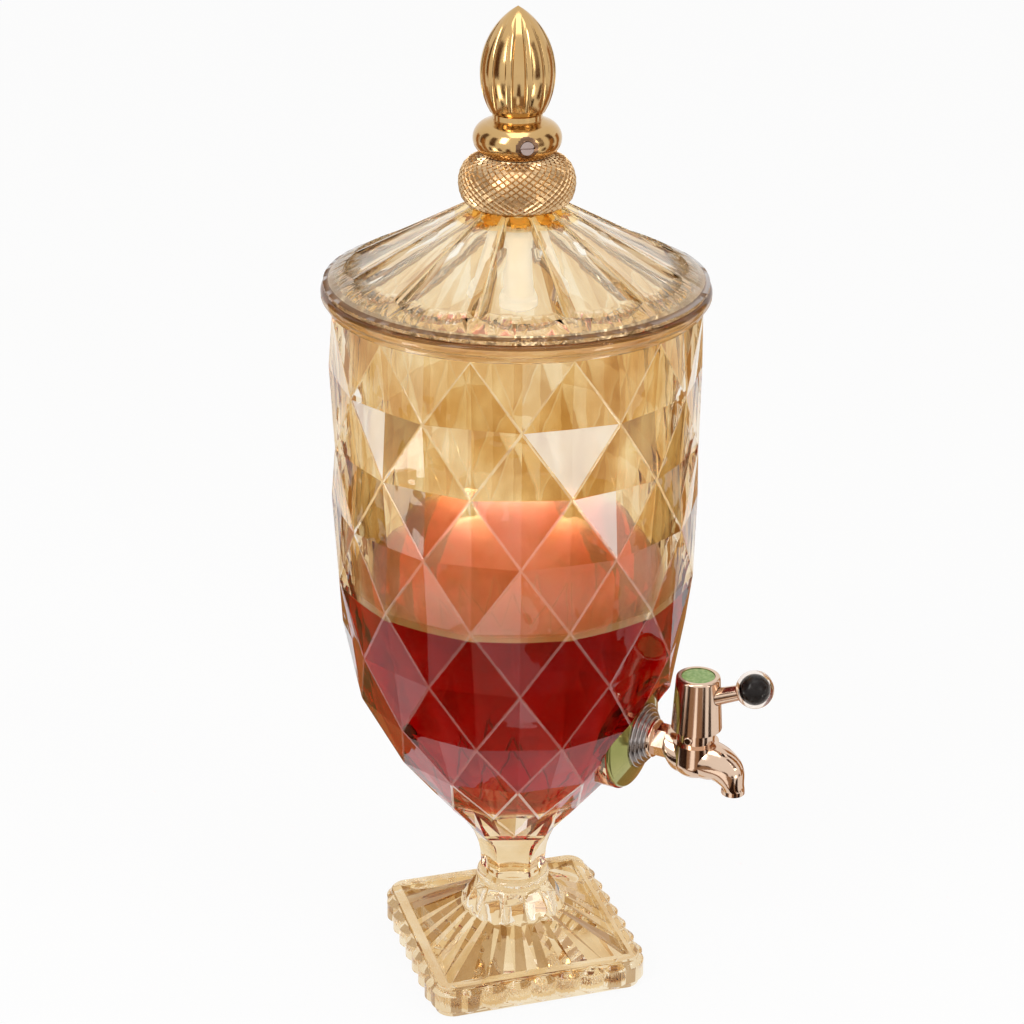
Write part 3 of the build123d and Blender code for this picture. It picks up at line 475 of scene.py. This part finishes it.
low_wave = 0.0002
mid_wave = 0.0003
high_wave = 0.0004
bowl_glass = amber_glass("amber_glass", (0.95, 0.82, 0.58, 1), (0.76, 0.52, 0.24, 1), mid_wave, shine=0.6)
# The ridges get a paler, less clear paint than the facets: a painted highlight.
ridge_painted_highlight = amber_glass(
    "amber_ridge_painted_highlight", (1.0, 0.93, 0.80, 1), (0.97, 0.86, 0.68, 1), mid_wave, rough=0.04, clear=0.9)
inner_glass = amber_glass(
    "amber_inner_glass", (0.93, 0.78, 0.51, 1), (0.78, 0.54, 0.24, 1), mid_wave, shine=0.1)
# Lighter and darker copies of the bowl's glass, for facets painted lighter and darker in turn: painted
# light and shade.
facet_painted_light = amber_glass(
    "amber_facet_painted_light", (1.0, 0.98, 0.93, 1), (0.99, 0.93, 0.80, 1), mid_wave, shine=0.8, lustre=0.4)
facet_painted_shade = amber_glass(
    "amber_facet_painted_shade", (0.84, 0.60, 0.30, 1), (0.52, 0.29, 0.09, 1), high_wave, shine=0.5)
lip_glass = amber_glass(
    "amber_lip_glass", (0.74, 0.49, 0.25, 1), (0.56, 0.33, 0.14, 1), mid_wave, clear=0.7)
# The lowest ridges, over the neck, get a paler paint: a painted highlight.
low_ridge_painted_highlight = amber_glass(
    "low_ridge_painted_highlight_glass", (1.0, 0.95, 0.88, 1), (1.0, 0.90, 0.82, 1), low_wave, rough=0.1, clear=0.45)
# Dark brown paint for the lines under the bowl's lip and round the lid's brim: painted shade.
shade_glass = amber_glass(
    "amber_shade_glass", (0.24, 0.11, 0.04, 1), (0.16, 0.07, 0.02, 1), mid_wave, shine=0.3, clear=0.5)
# A milky paint for chosen facets: a painted highlight.
facet_painted_highlight = amber_glass(
    "amber_facet_painted_highlight", (1.0, 0.99, 0.97, 1), (0.96, 0.91, 0.83, 1), low_wave, rough=0.12, clear=0.55)
# A dark amber paint for chosen facets: painted shade.
facet_dark_painted_shade = amber_glass(
    "amber_facet_dark_painted_shade", (0.44, 0.27, 0.08, 1), (0.28, 0.15, 0.04, 1), high_wave, clear=0.85)
bowl.data.materials[plain_slot] = bowl_glass
bowl.data.materials[ridge_slot] = ridge_painted_highlight
for paint in (inner_glass, facet_painted_light, facet_painted_shade, lip_glass, low_ridge_painted_highlight, shade_glass, facet_painted_highlight,
              facet_dark_painted_shade):
    bowl.data.materials.append(paint)


def paint_faces(piece, paint, wanted):
    """Gives a paint from the piece's own slots to the faces for which wanted(face) is true."""
    pick(piece, "FACE", wanted)
    piece.active_material_index = piece.data.materials.find(paint.name)
    bpy.ops.object.material_slot_assign()


inside_base_z = 114.0
inside_reach = 91.5


def is_inner(face):
    """A face of the smooth inside: its wall, or its floor, which looks up."""
    middle = face.calc_center_median()
    inward = face.normal.x * middle.x + face.normal.y * middle.y < 0
    within = middle.z / mm > inside_base_z and middle_reach(face) < inside_reach
    return within and (inward or face.normal.z > 0.5)


def facet_place(face):
    """The face's diamond, as (column, row), and its quarter: 0 and 1 above, 2 and 3 below."""
    middle = face.calc_center_median()
    across = degrees(atan2(middle.x, -middle.y)) / 15.0
    height = middle.z / mm
    heights = [level[1] for level in diamond_levels] + [neck_top_z]
    row = next((k for k in range(len(heights) - 1) if heights[k] >= height > heights[k + 1]), 0)
    level = row + (heights[row] - height) / (heights[row] - heights[row + 1])
    side, end = across - round(across), level - round(level)
    quarter = (0 if side < 0 else 1) if end < 0 else (3 if side < 0 else 2)
    return round(across), round(level), quarter


def facet_side(face):
    """Which of a diamond's four facets this is, with another start for each diamond."""
    column, row, quarter = facet_place(face)
    return (quarter + (column * 5 + row * 3) // 2) % 4


def is_plain_facet(face):
    """A facet that has no tint of its own yet."""
    return is_facet(face) and face.material_index == plain_slot


def is_between_ridges(face):
    """A facet of any tint, without its rounded ridges."""
    return is_facet(face) and face.material_index != ridge_slot


low_ridge_from, low_ridge_to = 112.0, 138.0


def is_low_ridge(face):
    """A ridge of the lowest rows, over the neck."""
    return face.material_index == ridge_slot and low_ridge_from < middle_height(face) < low_ridge_to


# Facets, as (column, row, quarter), that get a painted highlight.
painted_highlight_facets = ((-3, 1, 2), (-3, 1, 3), (-2, 2, 3), (-7, 1, 3), (3, 1, 2), (9, 2, 3), (6, 1, 3))
# Facets that get painted shade.
painted_shade_facets = ((-1, 1, 3), (-7, 1, 2), (-6, 2, 3), (-8, 2, 2), (0, 2, 3), (0, 2, 0), (-1, 3, 1),
               (-7, 3, 0), (2, 1, 2), (5, 2, 3), (10, 1, 2))
lip_base_z = 389.5
lip_line_low, lip_line_high = 396.4, 398.4
bpy.ops.object.mode_set(mode="EDIT")
paint_faces(bowl, inner_glass, is_inner)
# Facets painted lighter and darker in turn, as painted light and shade.
paint_faces(bowl, facet_painted_light, lambda f: is_plain_facet(f) and facet_side(f) == 0)
paint_faces(bowl, facet_painted_shade, lambda f: is_plain_facet(f) and facet_side(f) == 2)
paint_faces(bowl, facet_painted_highlight, lambda f: is_between_ridges(f) and facet_place(f) in painted_highlight_facets)
paint_faces(bowl, facet_dark_painted_shade, lambda f: is_between_ridges(f) and facet_place(f) in painted_shade_facets)
paint_faces(bowl, lip_glass, lambda f: middle_height(f) > lip_base_z)
paint_faces(bowl, low_ridge_painted_highlight, is_low_ridge)
# A painted shade line under the lip, where the lid's brim meets it.
paint_faces(bowl, shade_glass, lambda f: lip_line_low < middle_height(f) < lip_line_high
            and f.normal.z < 0.97)
bpy.ops.object.mode_set(mode="OBJECT")
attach(bowl, "vessel")
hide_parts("bowl")


# The foot: a square of the same glass with lobed sides, pressed in one piece and cemented to the
# bowl's neck. Its grooves, inward faces and corners are painted darker as shade, and its collar is
# paler.


def dressed_copy(node, name, paints):
    """A copy of a node's mesh with its loose triangles joined, and a slot for each paint."""
    piece = bpy.data.objects.new(name, cad[node].data.copy())
    scene.collection.objects.link(piece)
    take_up(piece)
    piece.data.materials.clear()
    for paint in paints:
        piece.data.materials.append(paint)
    bpy.ops.object.mode_set(mode="EDIT")
    bpy.ops.mesh.select_all(action="SELECT")
    bpy.ops.mesh.remove_doubles(threshold=0.002 * mm)
    return piece


foot_glass = amber_glass(
    "amber_foot_glass", (0.88, 0.65, 0.34, 1), (0.66, 0.39, 0.14, 1), mid_wave, shine=0.65)
# A dark amber paint for grooves, inward faces and corners: painted shade.
groove_painted_shade = amber_glass(
    "amber_groove_painted_shade", (0.38, 0.18, 0.05, 1), (0.24, 0.10, 0.025, 1), mid_wave, shine=0.6)
collar_glass = amber_glass(
    "amber_collar_glass", (0.94, 0.82, 0.60, 1), (0.80, 0.60, 0.34, 1), mid_wave)
collar_base_z = 32.5
foot_half = (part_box("foot")[1][0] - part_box("foot")[0][0]) / 2
lobe_depth = 12.0
corner_depth = 9.0


def is_foot_painted_shade(face):
    """A face painted as shade: a fan groove's one wall, or a lobe wall turned sideways or inward, or a
    corner.
    """
    middle = face.calc_center_median()
    if middle.z / mm > collar_base_z or middle.z / mm < 0.5:
        return False
    if max(abs(middle.x), abs(middle.y)) > foot_half - lobe_depth * mm:
        along = face.normal.y if abs(middle.x) > abs(middle.y) else face.normal.x
        inward = face.normal.x * middle.x + face.normal.y * middle.y < -0.3 * hypot(middle.x, middle.y)
        in_corner = min(abs(middle.x), abs(middle.y)) > foot_half - corner_depth * mm
        return abs(along) > 0.45 or inward or (in_corner and abs(face.normal.z) < 0.6)
    across = Vector((-middle.y, middle.x, 0)).normalized()
    return face.normal.z > 0 and face.normal.dot(across) > 0.12


foot = dressed_copy("foot", "pressed_foot", (foot_glass, groove_painted_shade, collar_glass))
paint_faces(foot, groove_painted_shade, is_foot_painted_shade)
paint_faces(foot, collar_glass, lambda f: middle_height(f) > collar_base_z - 0.5)
bpy.ops.object.mode_set(mode="OBJECT")
round_off(foot, 14.0)
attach(foot, "vessel")
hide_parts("foot")


# The lid: pressed like the bowl, with flutes between narrow ribs. The flutes are a little frosted,
# the ribs are clear and the brim is as golden as the bowl's lip. The flutes' sides and a line round
# the brim's step are painted darker as shade. The crown's top is gilded where the finial stands on it.

def plating(name, color, patches, rough):
    """A thin plating on brass, a little uneven in colour and polish."""
    metal = bpy.data.materials.new(name)
    metal.use_nodes = True
    nodes = metal.node_tree.nodes
    links = metal.node_tree.links
    shader = nodes["Principled BSDF"]
    shader.inputs["Metallic"].default_value = 1.0
    place = nodes.new("ShaderNodeTexCoord")
    cloud = nodes.new("ShaderNodeTexNoise")
    cloud.inputs["Scale"].default_value = 60.0
    cloud.inputs["Detail"].default_value = 3.0
    links.new(place.outputs["Object"], cloud.inputs["Vector"])
    shade = nodes.new("ShaderNodeMix")
    shade.data_type = "RGBA"
    shade.inputs["A"].default_value = color
    shade.inputs["B"].default_value = patches
    links.new(cloud.outputs["Fac"], shade.inputs["Factor"])
    links.new(shade.outputs["Result"], shader.inputs["Base Color"])
    polish = nodes.new("ShaderNodeMapRange")
    polish.inputs["To Min"].default_value = rough * 0.7
    polish.inputs["To Max"].default_value = rough * 1.4
    links.new(cloud.outputs["Fac"], polish.inputs["Value"])
    links.new(polish.outputs["Result"], shader.inputs["Roughness"])
    return metal


lid_glass = amber_glass(
    "amber_lid_glass", (0.98, 0.91, 0.75, 1), (0.92, 0.79, 0.56, 1), mid_wave, shine=0.7)
flute_glass = amber_glass(
    "amber_flute_glass", (1.0, 0.96, 0.86, 1), (0.99, 0.91, 0.76, 1), 0.0005, rough=0.03, shine=0.75,
    clear=0.88)
brim_glass = amber_glass(
    "amber_brim_glass", (0.90, 0.74, 0.48, 1), (0.78, 0.56, 0.30, 1), mid_wave, rough=0.15, clear=0.85)
crown_glass = amber_glass(
    "amber_crown_glass", (1.0, 0.78, 0.40, 1), (0.95, 0.62, 0.22, 1), mid_wave, shine=0.5)
# A darker paint for the flutes' sides: painted shade.
rib_shade = amber_glass("amber_rib_shade", (0.60, 0.36, 0.14, 1), (0.42, 0.22, 0.07, 1), mid_wave)
gilding = plating("crown_gilding", (0.98, 0.66, 0.24, 1), (0.90, 0.52, 0.14, 1), 0.15)
brim_top_z = 402.2
brim_reach = 92.0
brim_edge_reach = 97.0
cone_low, cone_high = 403.0, 439.0
cone_reach = 26.0
crown_base_z = 433.0
crown_top_z = 438.5
stud_clearing = 12.0
slope_from, slope_to = 83.0, 95.5
slope_top_z = 409.0
line_low, line_high = 400.4, 410.0
line_reach = 95.7


def is_cone(face):
    """A face of the fluted slope that looks up."""
    on_slope = cone_low < middle_height(face) < cone_high and middle_reach(face) > cone_reach
    return on_slope and face.normal.z > 0.2


def is_flute(face):
    """A face of one of the twelve flutes, and not of the rib between two."""
    middle = face.calc_center_median()
    turn = degrees(atan2(middle.x, -middle.y))
    return is_cone(face) and abs(turn - 30.0 * round(turn / 30.0)) < 13.0


def is_flute_side(face):
    """A face that falls from a rib into a flute."""
    middle = face.calc_center_median()
    across = Vector((-middle.y, middle.x, 0)).normalized()
    return is_cone(face) and abs(face.normal.dot(across)) > 0.27


def is_brim(face):
    """A face of the flat brim."""
    return middle_height(face) < brim_top_z and middle_reach(face) > brim_reach


def is_brim_edge(face):
    """A face of the brim that looks out."""
    middle = face.calc_center_median()
    out = Vector((middle.x, middle.y, 0)).normalized()
    looks_out = face.normal.dot(out) > 0.7
    return middle_height(face) < brim_top_z and middle_reach(face) > brim_edge_reach and looks_out


def is_brim_slope(face):
    """A face of the band where the flutes run out into the brim."""
    in_band = middle_height(face) < slope_top_z and slope_from < middle_reach(face) < slope_to
    return in_band and face.normal.z > 0.2


def is_brim_line(face):
    """A face of the painted shade line round the brim's step."""
    return line_low < middle_height(face) < line_high and middle_reach(face) > line_reach


lid = dressed_copy("lid", "fluted_lid", (
    lid_glass, flute_glass, lip_glass, rib_shade, shade_glass, brim_glass, crown_glass, gilding))
paint_faces(lid, flute_glass, is_flute)
paint_faces(lid, lip_glass, is_brim)
# The flutes' sides are painted darker as shade.
paint_faces(lid, rib_shade, is_flute_side)
paint_faces(lid, lip_glass, is_brim_edge)
paint_faces(lid, brim_glass, is_brim_slope)
paint_faces(lid, crown_glass, lambda f: middle_height(f) > crown_base_z
            and middle_reach(f) > stud_clearing)
# A painted shade line round the brim's step.
paint_faces(lid, shade_glass, is_brim_line)
paint_faces(lid, gilding, lambda f: middle_height(f) > crown_top_z and f.normal.z > 0.9)
bpy.ops.object.mode_set(mode="OBJECT")
round_off(lid, 16.0)
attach(lid, "lid")
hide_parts("lid")


# The juice, up to just below the middle of the bowl. It reaches a hair into the glass, so that
# light passes straight from one to the other.

overlap = 0.2
juice_top = 238.0
juice_reach = 89.55
froth_depth = 0.3
wall_glow_start = 77.0
wall_glow_full = 89.0
juice_wall = [(radius + overlap, height) for radius, height in inside_wall if height < juice_top]
juice_wall[0] = (juice_wall[0][0], juice_wall[0][1] - overlap)
juice = turned("juice", juice_wall + [(juice_reach, juice_top)])
carve(juice, tap_disc("boss_in_juice", boss_radius + boss_gap - overlap, boss_back + overlap, beyond_wall))
round_off(juice, 35.0)


def red_drink(name):
    """Clear red juice, with a little pulp and froth that floats on top, and on top a cream painted glow
    along the wall.
    """
    red = bpy.data.materials.new(name)
    red.use_nodes = True
    nodes = red.node_tree.nodes
    links = red.node_tree.links
    shader = nodes["Principled BSDF"]
    shader.inputs["Roughness"].default_value = 0.0
    shader.inputs["IOR"].default_value = 1.34
    shader.inputs["Transmission Weight"].default_value = 1.0
    shader.inputs["Specular Tint"].default_value = (0.3, 0.3, 0.3, 1)
    place = nodes.new("ShaderNodeTexCoord")
    height = nodes.new("ShaderNodeSeparateXYZ")
    links.new(place.outputs["Object"], height.inputs[0])
    froth = nodes.new("ShaderNodeMapRange")
    froth.inputs["From Min"].default_value = (juice_top - froth_depth) * mm
    froth.inputs["From Max"].default_value = juice_top * mm
    froth.inputs["To Min"].default_value = 1.0
    froth.inputs["To Max"].default_value = 0.7
    links.new(height.outputs["Z"], froth.inputs["Value"])
    links.new(froth.outputs["Result"], shader.inputs["Transmission Weight"])
    cloud = nodes.new("ShaderNodeTexNoise")
    cloud.inputs["Scale"].default_value = 12.0
    links.new(place.outputs["Object"], cloud.inputs["Vector"])
    shade = nodes.new("ShaderNodeMix")
    shade.data_type = "RGBA"
    shade.inputs["A"].default_value = (1.0, 0.54, 0.44, 1)
    shade.inputs["B"].default_value = (1.0, 0.42, 0.32, 1)
    links.new(cloud.outputs["Fac"], shade.inputs["Factor"])
    across = nodes.new("ShaderNodeVectorMath")
    across.operation = "MULTIPLY"
    across.inputs[1].default_value = (1, 1, 0)
    links.new(place.outputs["Object"], across.inputs[0])
    reach = nodes.new("ShaderNodeVectorMath")
    reach.operation = "LENGTH"
    links.new(across.outputs["Vector"], reach.inputs[0])
    # The top is painted cream towards the wall: a painted glow.
    by_wall = nodes.new("ShaderNodeMapRange")
    by_wall.interpolation_type = "SMOOTHSTEP"
    by_wall.inputs["From Min"].default_value = wall_glow_start * mm
    by_wall.inputs["From Max"].default_value = wall_glow_full * mm
    links.new(reach.outputs["Value"], by_wall.inputs["Value"])
    on_top = nodes.new("ShaderNodeMath")
    on_top.operation = "GREATER_THAN"
    on_top.inputs[1].default_value = (juice_top - froth_depth) * mm
    links.new(height.outputs["Z"], on_top.inputs[0])
    wall_glow_mask = nodes.new("ShaderNodeMath")
    wall_glow_mask.operation = "MULTIPLY"
    links.new(by_wall.outputs["Result"], wall_glow_mask.inputs[0])
    links.new(on_top.outputs[0], wall_glow_mask.inputs[1])
    wall_glow_paint = nodes.new("ShaderNodeMix")
    wall_glow_paint.data_type = "RGBA"
    wall_glow_paint.inputs["B"].default_value = (1.0, 0.80, 0.60, 1)
    links.new(wall_glow_mask.outputs[0], wall_glow_paint.inputs["Factor"])
    links.new(shade.outputs["Result"], wall_glow_paint.inputs["A"])
    links.new(wall_glow_paint.outputs["Result"], shader.inputs["Base Color"])
    body = nodes.new("ShaderNodeVolumeAbsorption")
    body.inputs["Color"].default_value = (0.90, 0.28, 0.15, 1)
    body.inputs["Density"].default_value = 80.0
    links.new(body.outputs[0], nodes["Material Output"].inputs["Volume"])
    return red


juice.data.materials.append(red_drink("red_juice"))
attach(juice, "vessel")


# The finial's bud and ring: brass castings, polished and thinly gilded, screwed on the stud. The
# ring has a bezel for its set screw, round which the gold is painted dark as shade.

def finish_with(paint, *names):
    """Gives one paint to nodes that keep their own meshes."""
    for name in names:
        cad[name].data.materials.clear()
        cad[name].data.materials.append(paint)


gold = plating("gold_plate", (0.66, 0.44, 0.20, 1), (0.56, 0.34, 0.13, 1), 0.14)
finish_with(gold, "finial_bud")
screw_low, screw_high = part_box("finial_set_screw")
screw_middle = (Vector(screw_low) + Vector(screw_high)) / 2
screw_way = Vector((screw_middle.x, screw_middle.y, 0)).normalized()
screw_ring_radius = 5.6


def is_by_screw(face):
    """A face of the ring within the painted shade round the set screw."""
    place = face.calc_center_median() - Vector((0, 0, screw_middle.z))
    along = place.dot(screw_way)
    return along > 0 and (place - screw_way * along).length < screw_ring_radius * mm


# Dark gold paint round the set screw: painted shade.
screw_painted_shade = plating("gold_screw_painted_shade", (0.13, 0.07, 0.04, 1), (0.26, 0.15, 0.09, 1), 0.25)
ring = dressed_copy("finial_ring", "finial_ring_plated", (gold, screw_painted_shade))
paint_faces(ring, screw_painted_shade, is_by_screw)
bpy.ops.object.mode_set(mode="OBJECT")
round_off(ring, 30.0)
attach(ring, "lid")
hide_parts("finial_ring")


# The finial's ball: a flattened ball of the same brass, knurled all round with a raised net. It
# stands a twentieth of a millimetre off the crown, so that the two share no face.

ball_rings = [(22.0, 439.45), (26.2, 441.2), (28.2, 443.8), (29.3, 447.0), (29.8, 450.4), (29.7, 453.6),
              (28.9, 456.9), (27.4, 460.0), (24.8, 462.8), (21.0, 464.6), (17.0, 465.4)]
net_width = 0.5
net_height = 0.7
ball = turned("finial_knurled_ball", ball_rings, sides=40)
bpy.ops.object.mode_set(mode="EDIT")
pick(ball, "FACE", lambda f: len(f.verts) == 4)
old_points = {vert.index for vert in bmesh.from_edit_mesh(ball.data).verts}
bpy.ops.mesh.poke()
pick(ball, "EDGE", lambda e: e.verts[0].index in old_points and e.verts[1].index in old_points
     and len(e.link_faces) == 2 and all(len(f.verts) == 3 for f in e.link_faces))
bpy.ops.mesh.dissolve_edges(use_verts=False)
pick(ball, "FACE", lambda f: 3 <= len(f.verts) <= 4)
bpy.ops.mesh.inset(thickness=net_width * mm, depth=-net_height * mm, use_individual=True)
bpy.ops.mesh.select_all(action="SELECT")
bpy.ops.mesh.normals_make_consistent(inside=False)
bpy.ops.object.mode_set(mode="OBJECT")
stud_low, stud_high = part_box("finial_stud")
stud_room = (stud_high[0] - stud_low[0]) / 2 / mm + 0.3
carve(ball, turned("stud_room", [(stud_room, 430.0), (stud_room, 470.0)], sides=32))
round_off(ball, 25.0)
ball.data.materials.clear()
ball.data.materials.append(plating("matt_gold_plate", (0.68, 0.48, 0.28, 1), (0.54, 0.36, 0.18, 1), 0.30))
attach(ball, "lid")
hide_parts("finial_ball")


# The tap: brass castings with a rose-gold plating, turned and screwed together, and a ribbed
# nickel washer under the flange.

rose = plating("rose_plate", (0.78, 0.58, 0.44, 1), (0.68, 0.48, 0.35, 1), 0.12)
nickel = plating("nickel_plate", (0.50, 0.46, 0.44, 1), (0.36, 0.33, 0.32, 1), 0.18)
finish_with(rose, "tap_body", "bonnet_ring", "bonnet_pin", "tap_cap", "lever", "lock_nut")
finish_with(nickel, "tap_washer")


# The steel pieces: the screw in the tap's cap and the finial's stud, of plain bright steel, and
# the ring's slotted set screw, whose steel is tinted warm as a painted reflection of the gold round it.

steel = plating("plain_steel", (0.52, 0.51, 0.50, 1), (0.40, 0.39, 0.38, 1), 0.22)
# The set screw's steel is tinted warm: a painted reflection of the gold round it.
steel_painted_gold_reflection = plating("steel_painted_gold_reflection", (0.62, 0.50, 0.46, 1), (0.40, 0.30, 0.27, 1), 0.3)
finish_with(steel, "cap_screw", "finial_stud")
finish_with(steel_painted_gold_reflection, "finial_set_screw")


# The two gaskets: discs of glossy olive silicone, clamped against the glass by the tap's flange
# outside and by its lock nut inside.

def moulded(name, color, patches, rough, scale=90.0, metallic=0.0, through=0.0, ior=1.5, shine=1.0):
    """A moulded or cast material, with a slight mottle and a fine grain."""
    paint = bpy.data.materials.new(name)
    paint.use_nodes = True
    nodes = paint.node_tree.nodes
    links = paint.node_tree.links
    shader = nodes["Principled BSDF"]
    shader.inputs["Metallic"].default_value = metallic
    shader.inputs["Roughness"].default_value = rough
    shader.inputs["IOR"].default_value = ior
    shader.inputs["Transmission Weight"].default_value = through
    shader.inputs["Specular Tint"].default_value = (shine, shine, shine, 1)
    place = nodes.new("ShaderNodeTexCoord")
    cloud = nodes.new("ShaderNodeTexNoise")
    cloud.inputs["Scale"].default_value = scale
    cloud.inputs["Detail"].default_value = 4.0
    links.new(place.outputs["Object"], cloud.inputs["Vector"])
    spread = nodes.new("ShaderNodeMapRange")
    spread.inputs["From Min"].default_value = 0.35
    spread.inputs["From Max"].default_value = 0.65
    links.new(cloud.outputs["Fac"], spread.inputs["Value"])
    shade = nodes.new("ShaderNodeMix")
    shade.data_type = "RGBA"
    shade.inputs["A"].default_value = color
    shade.inputs["B"].default_value = patches
    links.new(spread.outputs["Result"], shade.inputs["Factor"])
    links.new(shade.outputs["Result"], shader.inputs["Base Color"])
    bump = nodes.new("ShaderNodeBump")
    bump.inputs["Strength"].default_value = 0.5
    bump.inputs["Distance"].default_value = 0.00005
    links.new(cloud.outputs["Fac"], bump.inputs["Height"])
    links.new(bump.outputs["Normal"], shader.inputs["Normal"])
    return paint


olive = moulded(
    "olive_silicone", (0.40, 0.38, 0.13, 1), (0.30, 0.30, 0.09, 1), 0.08, scale=40.0, metallic=0.7)
finish_with(olive, "tap_gasket", "inner_gasket")


# The cap's disc: plain green enamel with a fine mottle, pressed into the cap over its screw, so
# that the handle's top is closed.

green = moulded("green_enamel", (0.34, 0.48, 0.15, 1), (0.19, 0.33, 0.07, 1), 0.25, scale=420.0)
finish_with(green, "cap_disc")


# The valve's plug and its seals: white plastic that turns in the tap's body, with two rings of
# black rubber in its grooves.

white = moulded("white_plastic", (0.95, 0.93, 0.87, 1), (0.91, 0.88, 0.80, 1), 0.3)
finish_with(white, "valve_plug")
rubber = moulded("seal_rubber", (0.03, 0.03, 0.03, 1), (0.05, 0.05, 0.05, 1), 0.5)
finish_with(rubber, "plug_seals")


# The cup nut and its washer: milky plastic, screwed on the stud under the lid's crown. They glow a
# little, to make up for the light that the renderer doesn't let through the lid.

nut_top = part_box("cup_nut")[1][2] / mm
nut_rings = [(11.2, 391.0), (16.2, 389.0), (17.5, 390.0), (17.5, 393.4), (16.6, 394.4), (14.4, 395.0),
             (13.6, 396.2), (13.2, nut_top - 1.2), (12.4, nut_top)]
nut_inside = 10.6
nut = turned("deep_cup_nut", nut_rings)
carve(nut, turned("nut_hollow", [(nut_inside, 380.0), (nut_inside, nut_top - 8.0)]))
carve(nut, turned("nut_bore", [(stud_room, nut_top - 12.0), (stud_room, nut_top + 3.0)], sides=32))
round_off(nut, 35.0)
milky = moulded("milky_plastic", (1.0, 0.99, 0.96, 1), (0.97, 0.95, 0.90, 1), 0.35, through=0.7)
milky_shader = milky.node_tree.nodes["Principled BSDF"]
milky_shader.inputs["Emission Color"].default_value = (1.0, 0.95, 0.84, 1)
milky_shader.inputs["Emission Strength"].default_value = 0.16
nut.data.materials.clear()
nut.data.materials.append(milky)
finish_with(milky, "crown_washer")
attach(nut, "lid")
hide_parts("cup_nut")


# The lever's ball: clear plastic, cast round a glossy black core. It has a round seat for the
# lever's end, on which it is pressed.

black = moulded("black_plastic", (0.012, 0.010, 0.010, 1), (0.02, 0.018, 0.018, 1), 0.12, shine=0.15)
finish_with(black, "lever_ball_core")
clear = moulded(
    "clear_plastic", (0.98, 0.90, 0.84, 1), (0.95, 0.86, 0.78, 1), 0.02, scale=60.0, through=1.0,
    ior=1.47, shine=0.25)
core_low, core_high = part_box("lever_ball_core")
core_middle = (Vector(core_low) + Vector(core_high)) / 2
lever_tilt = 24.0
lever_way = Vector((0, -cos(radians(lever_tilt)), sin(radians(lever_tilt))))
knob_radius = 10.0
seat_radius = 4.1
seat_length = 4.6
seat_middle = 8.7
bpy.ops.object.select_all(action="DESELECT")
bpy.ops.mesh.primitive_uv_sphere_add(
    segments=64, ring_count=32, radius=knob_radius * mm, location=core_middle)
knob = bpy.context.object
knob.name = "lever_clear_ball"
bpy.ops.object.transform_apply(location=True, rotation=True, scale=True)
bpy.ops.object.select_all(action="DESELECT")
bpy.ops.mesh.primitive_cylinder_add(
    vertices=48, radius=seat_radius * mm, depth=seat_length * mm,
    location=core_middle - lever_way * seat_middle * mm, rotation=(radians(90.0 - lever_tilt), 0, 0))
knob_seat = bpy.context.object
bpy.ops.object.transform_apply(location=True, rotation=True, scale=True)
carve(knob, knob_seat)
round_off(knob, 40.0)
knob.data.materials.clear()
knob.data.materials.append(clear)
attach(knob, "handle")
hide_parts("lever_ball")


# The bond between neck and foot: clear adhesive that fills the foot's socket. It is drawn a
# twentieth of a millimetre smaller all round, so that it shares no face with the glass.

bond_shrink = 0.05
cement = moulded(
    "clear_adhesive", (1.0, 0.98, 0.93, 1), (0.98, 0.95, 0.88, 1), 0.02, scale=120.0, through=1.0,
    ior=1.01)
bond = dressed_copy("foot_bond", "neck_bond", (cement,))
bpy.ops.mesh.select_all(action="SELECT")
bpy.ops.transform.shrink_fatten(value=-bond_shrink * mm)
bpy.ops.object.mode_set(mode="OBJECT")
round_off(bond, 30.0)
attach(bond, "vessel")
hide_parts("foot_bond")
